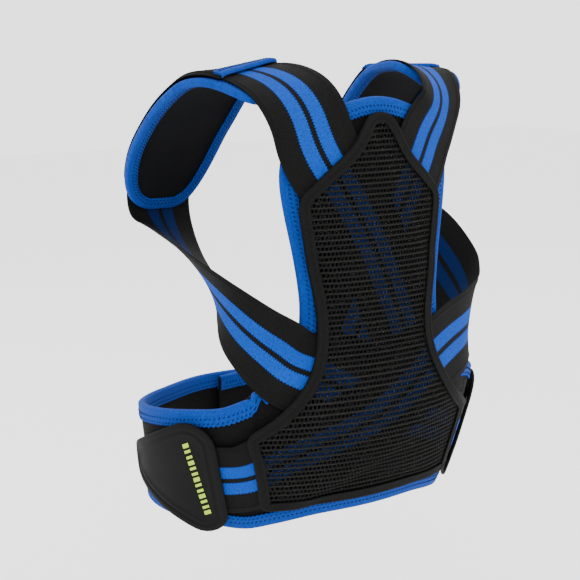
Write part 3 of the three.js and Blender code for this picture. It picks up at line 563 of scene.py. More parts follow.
def cover_grid(rows=120, columns=72):
    height = np.linspace(COVER_ROWS[0]["height"], COVER_ROWS[-1]["height"], rows + 1)[:, None]
    place = np.linspace(-1, 1, columns + 1)[None, :]
    half = cover_half(height, place)
    z = height * BACK_HEIGHT + 0 * place
    within = np.clip(place, -COVER_LEVEL, COVER_LEVEL) * half
    lift = straps_under(on_back(within, z, STRAP_REST)[0])
    for _ in range(COVER_ROUNDS):
        soft = np.pad(lift, 1, mode="edge")
        lift = (soft[:-2, 1:-1] + soft[2:, 1:-1] + soft[1:-1, :-2] + soft[1:-1, 2:] + 2 * lift) / 6
    return on_back(place * half, z, lift)


cover = cover_grid()
print("cover grid", cover[0].shape)

# %% [markdown]
# ## Cloth from grids
#
# Cut cloth has two faces and a soft edge. A helper turns a grid of points and normals into a
# closed shell with a rounded rim, and writes a UV map in metres along and across the piece, so
# that weave and stripes keep their true size. Edge binding is a folded tape: a rounded U that is
# swept along the cloth's edge, with a bead at the fold and an inner edge that puckers a little.

# %% Build a closed cloth piece from a grid
made_pieces = {}


def add_piece(name, vertices, faces, uv=None, material=None, smooth=True):
    mesh = bpy.data.meshes.new(name)
    mesh.from_pydata(np.asarray(vertices) + TO_FRAME, [], faces)
    if uv is not None:
        layer = mesh.uv_layers.new(name="cloth")
        corners = np.empty(len(mesh.loops), int)
        mesh.loops.foreach_get("vertex_index", corners)
        layer.data.foreach_set("uv", np.asarray(uv, float)[corners].ravel())
    mesh.polygons.foreach_set("use_smooth", [smooth] * len(mesh.polygons))
    if material:
        mesh.materials.append(material)
    piece = bpy.data.objects.new(name, mesh)
    COLLECTION.objects.link(piece)
    made_pieces[name] = piece
    return piece


def outward(piece):
    """Turns the faces round where the closed piece's volume comes out negative."""
    mesh = piece.data
    mesh.calc_loop_triangles()
    points = np.array([v.co for v in mesh.vertices])
    tri = np.array([t.vertices for t in mesh.loop_triangles])
    a, b, c = points[tri[:, 0]], points[tri[:, 1]], points[tri[:, 2]]
    if (a * np.cross(b, c)).sum() < 0:
        mesh.flip_normals()
    return piece


def lengths_along(points, axis):
    step = np.linalg.norm(np.diff(points, axis=axis), axis=-1)
    start = np.zeros_like(np.take(step, [0], axis=axis))
    return np.concatenate([start, np.cumsum(step, axis=axis)], axis=axis)


def cloth(name, grid, low, high, material, across=None, relief=None):
    """A closed sheet between two lifts over the grid, with a rounded rim."""
    points, normals = grid
    rows, columns = points.shape[:2]
    relief = 0 if relief is None else relief[..., None]
    top = points + normals * (high + relief)
    bottom = points + normals * low
    u = lengths_along(points, 0).mean(1, keepdims=True) + np.zeros((rows, columns))
    v = lengths_along(points, 1)
    v = v - v[:, -1:] / 2 if across is None else np.broadcast_to(across, (rows, columns))
    index = np.arange(rows * columns).reshape(rows, columns)
    rim = np.concatenate([index[0, :-1], index[:-1, -1], index[-1, :0:-1], index[:0:-1, 0]])
    middle = points + normals * ((low + high) / 2)
    flat_middle, half = middle.reshape(-1, 3)[rim], (high - low) / 2
    inner_index = np.clip(np.stack(np.divmod(rim, columns), 1), 1, [rows - 2, columns - 2])
    inside = middle[inner_index[:, 0], inner_index[:, 1]]
    out = unit(flat_middle - inside)
    rim_normal = normals.reshape(-1, 3)[rim]
    ring = [flat_middle + out * half * 0.85 + rim_normal * half * s for s in (0.55, -0.55)]
    vertices = np.vstack([top.reshape(-1, 3), bottom.reshape(-1, 3), *ring])
    uv = np.stack([u, v], -1).reshape(-1, 2)
    uv = np.vstack([uv, uv, uv[rim], uv[rim]])
    a, b, c, d = index[:-1, :-1], index[:-1, 1:], index[1:, 1:], index[1:, :-1]
    quads = np.stack([a, b, c, d], -1).reshape(-1, 4)
    count = rows * columns
    k = np.arange(len(rim))
    follow = (k + 1) % len(rim)
    upper = 2 * count + k
    lower = upper + len(rim)
    sides = [
        np.stack([rim[follow], rim, upper, upper[follow]], -1),
        np.stack([upper[follow], upper, lower, lower[follow]], -1),
        np.stack([lower[follow], lower, rim + count, rim[follow] + count], -1),
    ]
    faces = np.vstack([quads, quads[:, ::-1] + count, *sides])
    return outward(add_piece(name, vertices, faces.tolist(), uv, material))


# %% Sample a grid at fractional rows and columns
def on_grid(grid, row, column):
    points, normals = grid
    i = int(min(max(math.floor(row), 0), points.shape[0] - 2))
    j = int(min(max(math.floor(column), 0), points.shape[1] - 2))
    s, t = row - i, column - j
    corners = [(i, j, (1 - s) * (1 - t)), (i, j + 1, (1 - s) * t),
               (i + 1, j, s * (1 - t)), (i + 1, j + 1, s * t)]
    return (sum(points[a, b] * w for a, b, w in corners),
            unit(sum(normals[a, b] * w for a, b, w in corners)))


def step_on_grid(grid, row, column, way):
    """The fractional row and column that lie a given way from others on the same grid."""
    last = np.array(grid[0].shape[:2]) - 1.0
    goal = on_grid(grid, row, column)[0] + way
    place = np.array([row, column], float)
    for _ in range(24):
        here = on_grid(grid, *place)[0]
        ends = np.where(place < last / 2, 0.5, -0.5)
        along = (on_grid(grid, place[0] + ends[0], place[1])[0] - here) / ends[0]
        aside = (on_grid(grid, place[0], place[1] + ends[1])[0] - here) / ends[1]
        step = np.linalg.lstsq(np.stack([along, aside], 1), goal - here, rcond=None)[0]
        place = np.clip(place + np.clip(step, -5, 5), 0, last)
    return place


# %% Edge lines and their stations
def row_line(grid, row):
    return [(grid, row % grid[0].shape[0], j) for j in range(grid[0].shape[1])]


def column_line(grid, column):
    return [(grid, i, column % grid[0].shape[1]) for i in range(grid[0].shape[0])]


def rim_line(grid):
    return (row_line(grid, 0)[:-1] + column_line(grid, -1)[:-1]
            + row_line(grid, -1)[:0:-1] + column_line(grid, 0)[:0:-1])


def edge_stations(places, closed, lip, spacing=0.004):
    """Edge points, normals, outward ways and the points a lip inside, evenly thinned."""
    points = [on_grid(*place) for place in places]
    kept, left = [], 0.0
    for k, (point, _) in enumerate(points):
        left += np.linalg.norm(point - points[k - 1][0]) if k else spacing
        if left >= spacing * 0.8 or k == len(points) - 1:
            kept.append(k)
            left = 0.0
    if closed and len(kept) > 3:
        kept.pop()
    point = np.array([points[k][0] for k in kept])
    normal = np.array([points[k][1] for k in kept])
    before, after = np.roll(point, 1, 0), np.roll(point, -1, 0)
    if not closed:
        before[0], after[-1] = point[0], point[-1]
    tangent = unit(after - before)
    out = unit(np.cross(tangent, normal))
    sense = 0.0
    for k, o, p in zip(kept, out, point):
        grid = places[k][0]
        centre = grid[0][grid[0].shape[0] // 2, grid[0].shape[1] // 2]
        sense += np.sign(np.dot(o, p - centre))
    out = out if sense > 0 else -out
    inner, inner_normal = [], []
    for k, o in zip(kept, out):
        grid, row, column = places[k]
        p, n = on_grid(grid, *step_on_grid(grid, row, column, -o * lip))
        inner.append(p)
        inner_normal.append(n)
    return dict(point=point, normal=normal, out=out, inner=np.array(inner),
                inner_normal=np.array(inner_normal), closed=closed)


def refine(stations, spacing, soften=0):
    """The same stations, evenly and closely spaced, with the corners softened."""
    closed = stations["closed"]
    keys = ["point", "normal", "out", "inner", "inner_normal"]
    data = {key: stations[key] for key in keys}
    for _ in range(soften):
        for key in keys:
            d = data[key]
            mean = (np.roll(d, 1, 0) + 2 * d + np.roll(d, -1, 0)) / 4
            if not closed:
                mean[0], mean[-1] = d[0], d[-1]
            data[key] = mean
    if closed:
        data = {key: np.vstack([d, d[:1]]) for key, d in data.items()}
    run = np.append(0, np.cumsum(np.linalg.norm(np.diff(data["point"], axis=0), axis=1)))
    count = max(int(run[-1] / spacing), 4)
    at = np.linspace(0, run[-1], count + 1)
    dense = {key: np.stack([np.interp(at, run, d[:, a]) for a in range(3)], 1)
             for key, d in data.items()}
    for key in ("normal", "out", "inner_normal"):
        dense[key] = unit(dense[key])
    if closed:
        dense = {key: d[:-1] for key, d in dense.items()}
        at = at[:-1]
    return dict(dense, closed=closed, run=at)


# %% Sweep a binding tape along an edge
def binding_section(low, high, folded):
    """Rows of (share towards the lip, outwards, lift) round the tape's section."""
    outer, clear = TAPE_OUTER, TAPE_CLEAR
    crown = high + outer
    rows = [(1.0, 0, high + clear * 0.4), (1.04, 0, high + clear + TAPE_THICKNESS * 0.5),
            (0.97, 0, crown - 0.0001), (0.7, 0, crown), (0.42, 0, crown - 0.0001),
            (0.28, 0, crown - 0.0004), (0.15, 0, crown + 0.0001)]
    centre, reach = (low + high) / 2, (high - low) / 2 + outer
    stop = -78 if folded else -20
    for angle in np.linspace(78, stop, 11 if folded else 8):
        rows.append((0.0, outer * math.cos(math.radians(angle)),
                     centre + reach * math.sin(math.radians(angle))))
    if folded:
        rows += [(0.15, 0, 2 * centre - crown), (0.6, 0, 2 * centre - crown),
                 (1.0, 0, 2 * centre - crown + 0.0001), (1.0, 0, low - clear * 0.4),
                 (0.5, 0, low - clear * 0.6), (0.0, clear * 0.6, low - clear * 0.3),
                 (0.0, clear * 0.6, high + clear * 0.3), (0.5, 0, high + clear * 0.6)]
    else:
        rows += [(0.0, clear * 0.8, low + 0.0001), (0.0, clear * 0.8, high + clear * 0.3),
                 (0.5, 0, high + clear * 0.5)]
    return rows


def binding(name, stations, tape, material, pucker):
    """A tape round an edge, whose inner edge puckers a little."""
    section = binding_section(tape["low"], tape["high"], tape["folded"])
    turn = stations["run"] * 2 * np.pi / STITCH_PITCH
    wave = 1 + pucker * np.sin(turn)
    rings = []
    for share, outwards, lift in section:
        part = (share * (wave if share > 0.9 else 1.0) + 0 * wave)[:, None]
        base = stations["point"] * (1 - part) + stations["inner"] * part
        normal = unit(stations["normal"] * (1 - part) + stations["inner_normal"] * part)
        swell = 0.00012 * np.sin(turn + 1.6)[:, None] * (share > 0.4)
        rings.append(base + stations["out"] * outwards + normal * (lift + swell))
    points = np.stack(rings, 1)
    count, size = points.shape[:2]
    index = np.arange(count * size).reshape(count, size)
    follow = np.roll(index, -1, 0) if stations["closed"] else index[1:]
    first = index if stations["closed"] else index[:-1]
    quads = np.stack([first, np.roll(first, -1, 1), np.roll(follow, -1, 1), follow], -1)
    faces = quads.reshape(-1, 4).tolist()
    if not stations["closed"]:
        faces += [index[0].tolist(), index[-1][::-1].tolist()]
    u = np.repeat(stations["run"][:, None], size, 1)
    v = np.array([-row[1] * 1.5 + row[0] * tape["lip"] for row in section])[None, :] + 0 * u
    v = np.where(np.arange(size) > size * 0.62, -v - 0.006, v)
    uv = np.stack([u, v], -1).reshape(-1, 2)
    return outward(add_piece(name, points.reshape(-1, 3), faces, uv, material))


# %% [markdown]
# ## Finishes
#
# Every textile starts from a shared effect: a knit grain that follows the cloth's own UV map, at
# that textile's pitch. The neoprene and the pads have a fine matt jersey face, and the binding
# is a brushed knit. The webbing adds two blue stripes whose edges step with the weave, and a
# copy with darker blue on the straps' underside is painted shade. The mesh has painted highlight
# on the ribs between its rows of holes. The tabs are moulded rubber with a faint pebble.

# %% Helpers for shader nodes
def node(tree, kind, **settings):
    made = tree.nodes.new(kind)
    for key, value in settings.items():
        setattr(made, key, value)
    return made


def feed(tree, socket, value):
    if hasattr(value, "is_output"):
        tree.links.new(value, socket)
    elif value is not None:
        socket.default_value = value


def preset(made, values):
    """Sets the node's inputs by their labels."""
    for label, value in values.items():
        made.inputs[label].default_value = value
    return made


def calc(tree, operation, a, b=None):
    made = node(tree, "ShaderNodeMath", operation=operation)
    for socket, value in zip(made.inputs, (a, b)):
        feed(tree, socket, value)
    return made.outputs[0]


def blend_colour(tree, factor, a, b):
    made = node(tree, "ShaderNodeMix", data_type="RGBA")
    feed(tree, made.inputs[0], factor)
    for socket, value in ((made.inputs[6], a), (made.inputs[7], b)):
        feed(tree, socket, (*value, 1) if isinstance(value, tuple) else value)
    return made.outputs[2]


def group_tree(name, kind_of_tree, inputs, outputs):
    tree = bpy.data.node_groups.new(name, kind_of_tree)
    for label, kind, value in inputs:
        socket = tree.interface.new_socket(label, in_out="INPUT", socket_type=kind)
        if value is not None:
            socket.default_value = value
    for label, kind in outputs:
        tree.interface.new_socket(label, in_out="OUTPUT", socket_type=kind)
    return tree, node(tree, "NodeGroupInput"), node(tree, "NodeGroupOutput")


# %% The knit grain group
knit, k_in, k_out = group_tree(
    "knit grain", "ShaderNodeTree",
    [("Cloth", "NodeSocketVector", None), ("Wale", "NodeSocketFloat", 0.0009),
     ("Course", "NodeSocketFloat", 0.0011), ("Unevenness", "NodeSocketFloat", 0.5),
     ("Seed", "NodeSocketFloat", 0.0)],
    [("Height", "NodeSocketFloat"), ("Fleck", "NodeSocketFloat"), ("Drift", "NodeSocketFloat")],
)


def arch(phase):
    """A row of rounded humps, one to each whole step of the phase."""
    return calc(knit, "ABSOLUTE", calc(knit, "SINE", calc(knit, "MULTIPLY", phase, math.pi)))


def cloth_noise(scale, detail):
    made = preset(node(knit, "ShaderNodeTexNoise", noise_dimensions="4D"),
                  {"Scale": scale, "Detail": detail})
    feed(knit, made.inputs["Vector"], k_in.outputs["Cloth"])
    feed(knit, made.inputs["W"], k_in.outputs["Seed"])
    return made.outputs[0]


parts = node(knit, "ShaderNodeSeparateXYZ")
feed(knit, parts.inputs[0], k_in.outputs["Cloth"])
across_phase = calc(knit, "DIVIDE", parts.outputs[1], k_in.outputs["Wale"])
along_phase = calc(knit, "DIVIDE", parts.outputs[0], k_in.outputs["Course"])
# Every other wale sits half a course further on, as knitted loops do
odd = calc(knit, "PINGPONG", across_phase, 1.0)
shifted = calc(knit, "ADD", along_phase, calc(knit, "MULTIPLY", odd, 0.5))
loops = calc(knit, "MULTIPLY", arch(across_phase), arch(shifted))
fleck, drift = cloth_noise(480, 3), cloth_noise(22, 2)
height = calc(knit, "ADD", loops, calc(knit, "MULTIPLY", fleck, k_in.outputs["Unevenness"]))
feed(knit, k_out.inputs["Height"], height)
feed(knit, k_out.inputs["Fleck"], fleck)
feed(knit, k_out.inputs["Drift"], drift)


def textile(name, roughness, wale, course, bump, sheen=0.0, uneven=0.5, seed=0.0):
    """A material with the knit grain placed and its bump wired; the colour is set after it."""
    made = bpy.data.materials.new(name)
    made.use_nodes = True
    tree = made.node_tree
    shader = tree.nodes["Principled BSDF"]
    preset(shader, {"Roughness": roughness, "Specular IOR Level": CLOTH_SHINE,
                    "Sheen Weight": sheen, "Sheen Roughness": 0.45})
    cloth_map = node(tree, "ShaderNodeUVMap", uv_map="cloth")
    grain = node(tree, "ShaderNodeGroup", node_tree=knit)
    feed(tree, grain.inputs["Cloth"], cloth_map.outputs[0])
    preset(grain, {"Wale": wale, "Course": course, "Unevenness": uneven, "Seed": seed})
    relief = preset(node(tree, "ShaderNodeBump"), {"Strength": bump, "Distance": 0.0004})
    feed(tree, relief.inputs["Height"], grain.outputs["Height"])
    feed(tree, shader.inputs["Normal"], relief.outputs[0])
    return made, tree, shader, cloth_map, grain


def shade(tree, grain, dark, light):
    """Between two colours by the loops' height, with fine flecks and slow patches."""
    level = calc(tree, "MULTIPLY", grain.outputs["Height"], 0.5)
    for label, weight in (("Fleck", 1.5), ("Drift", 0.5)):
        level = calc(tree, "ADD", level, calc(tree, "MULTIPLY", grain.outputs[label], weight))
    level = calc(tree, "SUBTRACT", level, 0.85)
    factor = node(tree, "ShaderNodeClamp")
    feed(tree, factor.inputs[0], level)
    return blend_colour(tree, factor.outputs[0], dark, light)


# %% Neoprene, binding and thread
def knitted(name, dark, light, **finish):
    """A textile of one colour, shaded from dark to light."""
    made, tree, shader, _, grain = textile(name, **finish)
    feed(tree, shader.inputs["Base Color"], shade(tree, grain, dark, light))
    return made


neoprene = knitted("neoprene jersey", (0.0016, 0.0016, 0.0016), (0.0044, 0.0044, 0.0043),
                   roughness=0.85, wale=0.0008, course=0.001, bump=0.35)
pad_face = knitted("pad jersey", (0.0022, 0.0023, 0.0026), (0.0052, 0.0054, 0.0062),
                   roughness=0.9, wale=0.0008, course=0.0008, bump=0.3, uneven=0.8, seed=4.0)
binding_blue = knitted("blue binding", (0.0008, 0.018, 0.135), (0.0024, 0.044, 0.275),
                       roughness=0.8, wale=0.0007, course=0.0009, bump=0.5, sheen=0.02,
                       uneven=0.8, seed=2.0)
binding_black = knitted("black binding", (0.0018, 0.0018, 0.0018), (0.0058, 0.0058, 0.0056),
                        roughness=0.75, wale=0.0006, course=0.0009, bump=0.4, uneven=0.6, seed=3.0)
blue_thread = plain_material("blue thread", (0.0006, 0.006, 0.036), 0.8)
black_thread = plain_material("black thread", (0.0016, 0.0016, 0.0016), 0.7)
print("finishes:", len(bpy.data.materials))

# %% Striped webbing, and a darker copy for the straps' underside as painted shade
STRIPE_INNER, STRIPE_OUTER = 0.0023, 0.0161
WEFT_STEP = 0.0014


def striped(name, seed, dark_blue, light_blue):
    made, tree, shader, cloth_map, grain = textile(
        name, roughness=0.75, wale=0.0013, course=0.0011, bump=0.9, uneven=0.6, seed=seed)
    parts = node(tree, "ShaderNodeSeparateXYZ")
    feed(tree, parts.inputs[0], cloth_map.outputs[0])
    saw = calc(tree, "MULTIPLY", calc(tree, "PINGPONG", parts.outputs[0], WEFT_STEP), 0.95)
    distance = calc(tree, "ABSOLUTE", parts.outputs[1])
    outer = calc(tree, "LESS_THAN", calc(tree, "ADD", distance, saw), STRIPE_OUTER)
    inner = calc(tree, "GREATER_THAN", calc(tree, "SUBTRACT", distance, saw), STRIPE_INNER - 0.0004)
    stripe = calc(tree, "MULTIPLY", outer, inner)
    black = shade(tree, grain, (0.0017, 0.0017, 0.0016), (0.0054, 0.0054, 0.0052))
    blue = shade(tree, grain, dark_blue, light_blue)
    feed(tree, shader.inputs["Base Color"], blend_colour(tree, stripe, black, blue))
    return made


webbing = striped("striped webbing", 1.0, (0.0011, 0.029, 0.205), (0.0034, 0.062, 0.385))
shaded_reverse = striped("webbing reverse", 6.0, (0.0008, 0.006, 0.040), (0.0015, 0.0125, 0.075))
print("stripe", round(1000 * (STRIPE_OUTER - STRIPE_INNER), 1), "mm wide")

# %% Mesh yarn, rubber and print
mesh_yarn, tree, shader, cloth_map, grain = textile(
    "mesh yarn", roughness=0.7, wale=0.0006, course=0.0007, bump=0.4, uneven=0.7, seed=5.0)
parts = node(tree, "ShaderNodeSeparateXYZ")
feed(tree, parts.inputs[0], cloth_map.outputs[0])
# The ribs between the rows of holes are painted lighter as painted highlight on the raised
# yarn, and every second one is stronger
every, second = (calc(tree, "DIVIDE", calc(tree, "PINGPONG", parts.outputs[0], pitch), pitch)
                 for pitch in (HOLE_UP / 2, HOLE_UP))
rib_highlight = calc(tree, "POWER", calc(tree, "SUBTRACT", 1.0, every), 4.0)
strong = calc(tree, "ADD", calc(tree, "MULTIPLY", calc(tree, "POWER", second, 3.0), 0.65), 0.35)
yarn = shade(tree, grain, (0.0024, 0.0024, 0.0023), (0.0065, 0.0065, 0.0062))
# The lighter colour is the painted highlight on the ribs
light = shade(tree, grain, (0.007, 0.0068, 0.0064), (0.019, 0.0182, 0.0168))
colour = blend_colour(tree, calc(tree, "MULTIPLY", rib_highlight, strong), yarn, light)
feed(tree, shader.inputs["Base Color"], colour)

tulle = plain_material("dark tulle", (0.0018, 0.0018, 0.0019), 0.85)
preset(tulle.node_tree.nodes["Principled BSDF"], {"Alpha": 0.27})

rubber = plain_material("moulded rubber", (0.0028, 0.0028, 0.0028), 0.5)
tree = rubber.node_tree
shader = tree.nodes["Principled BSDF"]
place = node(tree, "ShaderNodeTexCoord")
pebble = preset(node(tree, "ShaderNodeTexVoronoi"), {"Scale": 900})
feed(tree, pebble.inputs["Vector"], place.outputs["Object"])
relief = preset(node(tree, "ShaderNodeBump"), {"Strength": 0.12, "Distance": 0.0002})
feed(tree, relief.inputs["Height"], pebble.outputs["Distance"])
feed(tree, shader.inputs["Normal"], relief.outputs[0])
wear = preset(node(tree, "ShaderNodeTexNoise"), {"Scale": 30})
feed(tree, wear.inputs["Vector"], place.outputs["Object"])
colour = blend_colour(tree, wear.outputs[0], (0.0022, 0.0022, 0.0022), (0.0036, 0.0036, 0.0036))
roughness = calc(tree, "ADD", calc(tree, "MULTIPLY", wear.outputs[0], 0.2), 0.6)
feed(tree, shader.inputs["Base Color"], colour)
feed(tree, shader.inputs["Roughness"], roughness)
lime_print = plain_material("lime print", (0.30, 0.46, 0.035), 0.55)

# %% [markdown]
# ## Panels, straps and pads
#
# The belt's wings and the back shell are single sheets of neoprene. The straps get a low ridge
# near each edge, where the webbing's selvage is woven thicker. The shoulder pads are laminated
# foam: each crowns a little inside its binding, and is flat enough that no simulation is needed
# to make it swell.

# %% Belt and back shell
for hand in SIDES:
    cloth(f"belt_panel_{hand}", wings[hand], 0, SHELL_THICKNESS, neoprene)
cloth("back_panel", shell, 0, SHELL_THICKNESS, neoprene)
print({name: len(piece.data.polygons) for name, piece in made_pieces.items()})

# %% Straps
def settled(grid, rounds=70):
    """The grid with its rows drawn towards their neighbours, as taut webbing is."""
    points, normals = (a.copy() for a in grid)
    for _ in range(rounds):
        for a in (points, normals):
            a[1:-1] = (a[:-2] + 2 * a[1:-1] + a[2:]) / 4
    return points, unit(normals)


RIDGE_AT, RIDGE_WIDTH, RIDGE_HEIGHT = 0.0325, 0.0010, 0.0006
RIDGE_STEPS = np.array([-0.0016, -0.0007, 0, 0.0007, 0.0016])
SLACK_ROUNDS, SLACK_FULL, SLACK_GONE = 260, 60, 115
ridge_places = np.sort(np.concatenate([
    np.linspace(-1, 1, 25) * 0.985,
    *[side * (RIDGE_AT + RIDGE_STEPS) / (STRAP_WIDTH / 2) for side in (-1, 1)]]))
ridge_across = ridge_places * STRAP_WIDTH / 2
ridge = RIDGE_HEIGHT * np.exp(-(((np.abs(ridge_across) - RIDGE_AT) / RIDGE_WIDTH) ** 2))
for hand in SIDES:
    for kind, way in straps_of(hand, 240, 360).items():
        grid = settled(band_grid(way, STRAP_WIDTH / 2, ridge_places))
        if kind == "side_strap":
            # Under the arm the webbing hangs in one soft turn
            slack = settled(grid, SLACK_ROUNDS)
            share = 1 - smoothstep(np.arange(len(way.share)), SLACK_FULL, SLACK_GONE)[:, None, None]
            grid = tuple(a * (1 - share) + b * share for a, b in zip(grid, slack))
        relief = np.broadcast_to(ridge, grid[0].shape[:2])
        piece = cloth(f"{kind}_web_{hand}", grid, 0, STRAP_THICKNESS, webbing, ridge_across, relief)
        # The underside of each strap, towards the body, takes the darker copy: painted shade
        piece.data.materials.append(shaded_reverse)
        face_count = (grid[0].shape[0] - 1) * (grid[0].shape[1] - 1)
        for polygon in piece.data.polygons[face_count : 2 * face_count]:
            polygon.material_index = 1

# %% Pads and the sleeves over them
PAD_PLACES = np.linspace(-1, 1, 25)
PAD_CROWN = 0.0007
SLEEVE_SHARE = 0.98
SLEEVE_PLACES = np.concatenate([
    np.linspace(-1, -0.86, 9), np.linspace(-0.82, 0.82, 21), np.linspace(0.86, 1, 9)])
SLEEVE_LATER = {"left": 0, "right": 0.07}
pad_grids, sleeve_grids = {}, {}
for hand, side in SIDES.items():
    share = PAD_FROM + (1 - PAD_FROM) * (1 - np.cos(np.linspace(0, 1, 121) * np.pi)) / 2
    way = shoulder_way(side, share)
    grid = band_grid(way, pad_half(share), PAD_PLACES)
    pad_grids[hand] = grid
    along = ((share - PAD_FROM) / (1 - PAD_FROM))[:, None]
    crown = PAD_CROWN * (1 - PAD_PLACES**2)[None, :] ** 0.5 * np.sqrt(4 * along * (1 - along))
    cloth(f"pad_foam_{hand}", grid, PAD_LIFT, PAD_LIFT + PAD_THICKNESS, pad_face, relief=crown)

    share = np.linspace(SLEEVE_SPAN[0] + SLEEVE_LATER[hand], SLEEVE_SPAN[1], 90)
    drop = smoothstep(np.abs(SLEEVE_PLACES), 0.89, 0.99)
    lift = (LAYER_STEP + GAP) * (1 - drop) + GAP * drop
    grid = band_grid(shoulder_way(side, share), pad_half(share) * SLEEVE_SHARE, SLEEVE_PLACES, lift)
    sleeve_grids[hand] = grid
    cloth(f"sleeve_panel_{hand}", grid, 0, SLEEVE_THICKNESS, neoprene)
print("pads and sleeves laid")

# %% [markdown]
# ## Perforated cover
#
# The cover is a spacer mesh, knitted with staggered rows of upright oval holes. Its yarn is real
# geometry: every cell of a brick pattern is a hexagonal hole joined to its neighbours by strips,
# mapped onto the cover's curved grid. Towards the border the cells are left solid. A thin
# see-through lining lies under the net and dims the stripes below it.

# %% Knit the mesh
NET_EDGE, NET_MARGIN = 0.0012, 0.0065
cover_levels = np.linspace(COVER_ROWS[0]["height"], COVER_ROWS[-1]["height"], cover[0].shape[0])


def on_cover(flat):
    """Points and normals of the cover at flat places of (across, height)."""
    points, normals = cover
    rows = np.interp(flat[:, 1] / BACK_HEIGHT, cover_levels, np.arange(len(cover_levels)))
    half = cover_half(flat[:, 1] / BACK_HEIGHT, flat[:, 0])
    columns = (flat[:, 0] / half + 1) / 2 * (points.shape[1] - 1)
    i = np.clip(rows.astype(int), 0, points.shape[0] - 2)
    j = np.clip(columns.astype(int), 0, points.shape[1] - 2)
    s, t = (rows - i)[:, None], (columns - j)[:, None]
    mixed = [
        a[i, j] * (1 - s) * (1 - t) + a[i, j + 1] * (1 - s) * t
        + a[i + 1, j] * s * (1 - t) + a[i + 1, j + 1] * s * t
        for a in (points, normals)
    ]
    return mixed[0], unit(mixed[1])


def within_cover(x, z, margin):
    low, high = (COVER_ROWS[k]["height"] * BACK_HEIGHT for k in (0, -1))
    if not low + margin < z < high - margin:
        return False
    return abs(x) < float(cover_half(z / BACK_HEIGHT, x)) - margin


def knit_mesh(name, low, high, material):
    """A closed sheet of brick-laid cells with hexagonal holes, raised between the holes."""
    bottom, top = COVER_ROWS[0]["height"] * BACK_HEIGHT, COVER_ROWS[-1]["height"] * BACK_HEIGHT
    widest = max(row["half"] for row in COVER_ROWS) * WAIST_HALF_WIDTH
    w, h = HOLE_ACROSS / 2, HOLE_UP / 2
    rim = [(0, h), (w, h), (w, -h), (0, -h), (-w, -h), (-w, h)]
    a, b = HOLE_HALF_WIDTH, HOLE_HALF_HEIGHT
    hole = [(0, b), (a, b * 0.55), (a, -b * 0.55), (0, -b), (-a, -b * 0.55), (-a, b * 0.55)]
    flat, rise, faces, lookup = [], [], [], {}

    def vertex(x, z, raised):
        key = (round(x * 1e6), round(z * 1e6))
        if key not in lookup:
            lookup[key] = len(flat)
            flat.append((x, z))
            rise.append(raised)
        return lookup[key]

    for r in range(int((top - bottom) / HOLE_UP) + 1):
        z = bottom + (r + 0.5) * HOLE_UP
        count = int(widest / HOLE_ACROSS) + 1
        for c in range(-count, count + 1):
            x = c * HOLE_ACROSS + w * (r % 2)
            if not all(within_cover(x + p, z + q, NET_EDGE) for p, q in rim):
                continue
            outer = [vertex(x + p, z + q, 1.0) for p, q in rim]
            if within_cover(x, z, NET_MARGIN):
                ring = [vertex(x + p, z + q, 0.35) for p, q in hole]
                for k in range(6):
                    m = (k + 1) % 6
                    faces.append([outer[m], outer[k], ring[k], ring[m]])
            else:
                faces.append(outer[::-1])
    flat = np.array(flat)
    point, normal = on_cover(flat)
    edges = {(f[k - 1], f[k]) for f in faces for k in range(len(f))}
    n = len(flat)
    walls = [[q, p, p + n, q + n] for p, q in edges if (q, p) not in edges]
    lift = low + (high - low) * np.array(rise)[:, None]
    vertices = np.vstack([point + normal * lift, point + normal * low])
    uv = np.vstack([flat, flat])[:, ::-1] - [bottom, 0]
    back = [[k + n for k in f[::-1]] for f in faces]
    return outward(add_piece(name, vertices, faces + back + walls, uv, material))


knit_mesh("cover_net", 0.0004, COVER_THICKNESS, mesh_yarn)
cloth("cover_lining", cover, 0, 0.0002, tulle)
print("net:", len(made_pieces["cover_net"].data.polygons), "faces")

# %% [markdown]
# ## Binding round the edges
#
# Blue tape folds over the edges of the belt, the back and the pads, apart from the right wing's
# front edge, which the left wing hides. It also ends each sleeve, and a narrower black one lies
# on the mesh's border. Each is swept along the edge's own line, so its inner edge keeps to the
# cloth.

# %% Sweep every binding
def trim(places, at_start, at_end):
    def cut(items, length):
        items = list(items)
        while length > 0 and len(items) > 2:
            step = np.linalg.norm(on_grid(*items[0])[0] - on_grid(*items[1])[0])
            if step > length:
                break
            length -= step
            items.pop(0)
        return items

    return cut(cut(places, at_start)[::-1], at_end)[::-1]


BELT_TOP_ROW = 12
PAD_LIP = 0.0095
CLEAR_OF_CORNER = TAPE_LIP + 2 * GAP
SLEEVE_END_CLEAR = 0.003
TAPE_STEP = 0.0011
hem_line = (column_line(wings["left"], 0)[::-1] + row_line(wings["left"], 0)[1:]
            + row_line(shell, 0)[1:-1] + row_line(wings["right"], 0))


def tape(places, high, lip, low=0, closed=False, folded=True):
    return dict(places=places, low=low, high=high, lip=lip, closed=closed, folded=folded)


tapes = {
    "neck_binding": tape(row_line(shell, -1), SHELL_THICKNESS, TAPE_LIP),
    "hem_binding": tape(trim(hem_line, CLEAR_OF_CORNER, 0), SHELL_THICKNESS, TAPE_LIP),
    "border_binding": tape(rim_line(cover), COVER_THICKNESS, BORDER_LIP, closed=True, folded=False),
}
for hand, side in SIDES.items():
    shell_edge = column_line(shell, 0 if side < 0 else -1)[BELT_TOP_ROW:][::-1]
    wing_top = row_line(wings[hand], -1)[::side]
    pad_edge, sleeve_end = rim_line(pad_grids[hand]), row_line(sleeve_grids[hand], 0)
    tapes |= {
        f"upper_binding_{hand}": tape(
            trim(shell_edge + wing_top[1:], CLEAR_OF_CORNER, 0), SHELL_THICKNESS, TAPE_LIP),
        f"pad_binding_{hand}": tape(
            pad_edge, PAD_LIFT + PAD_THICKNESS, PAD_LIP, low=PAD_LIFT, closed=True),
        f"sleeve_binding_{hand}": tape(
            trim(sleeve_end, SLEEVE_END_CLEAR, SLEEVE_END_CLEAR), SLEEVE_THICKNESS, BORDER_LIP,
            folded=False),
    }
tape_runs = {}
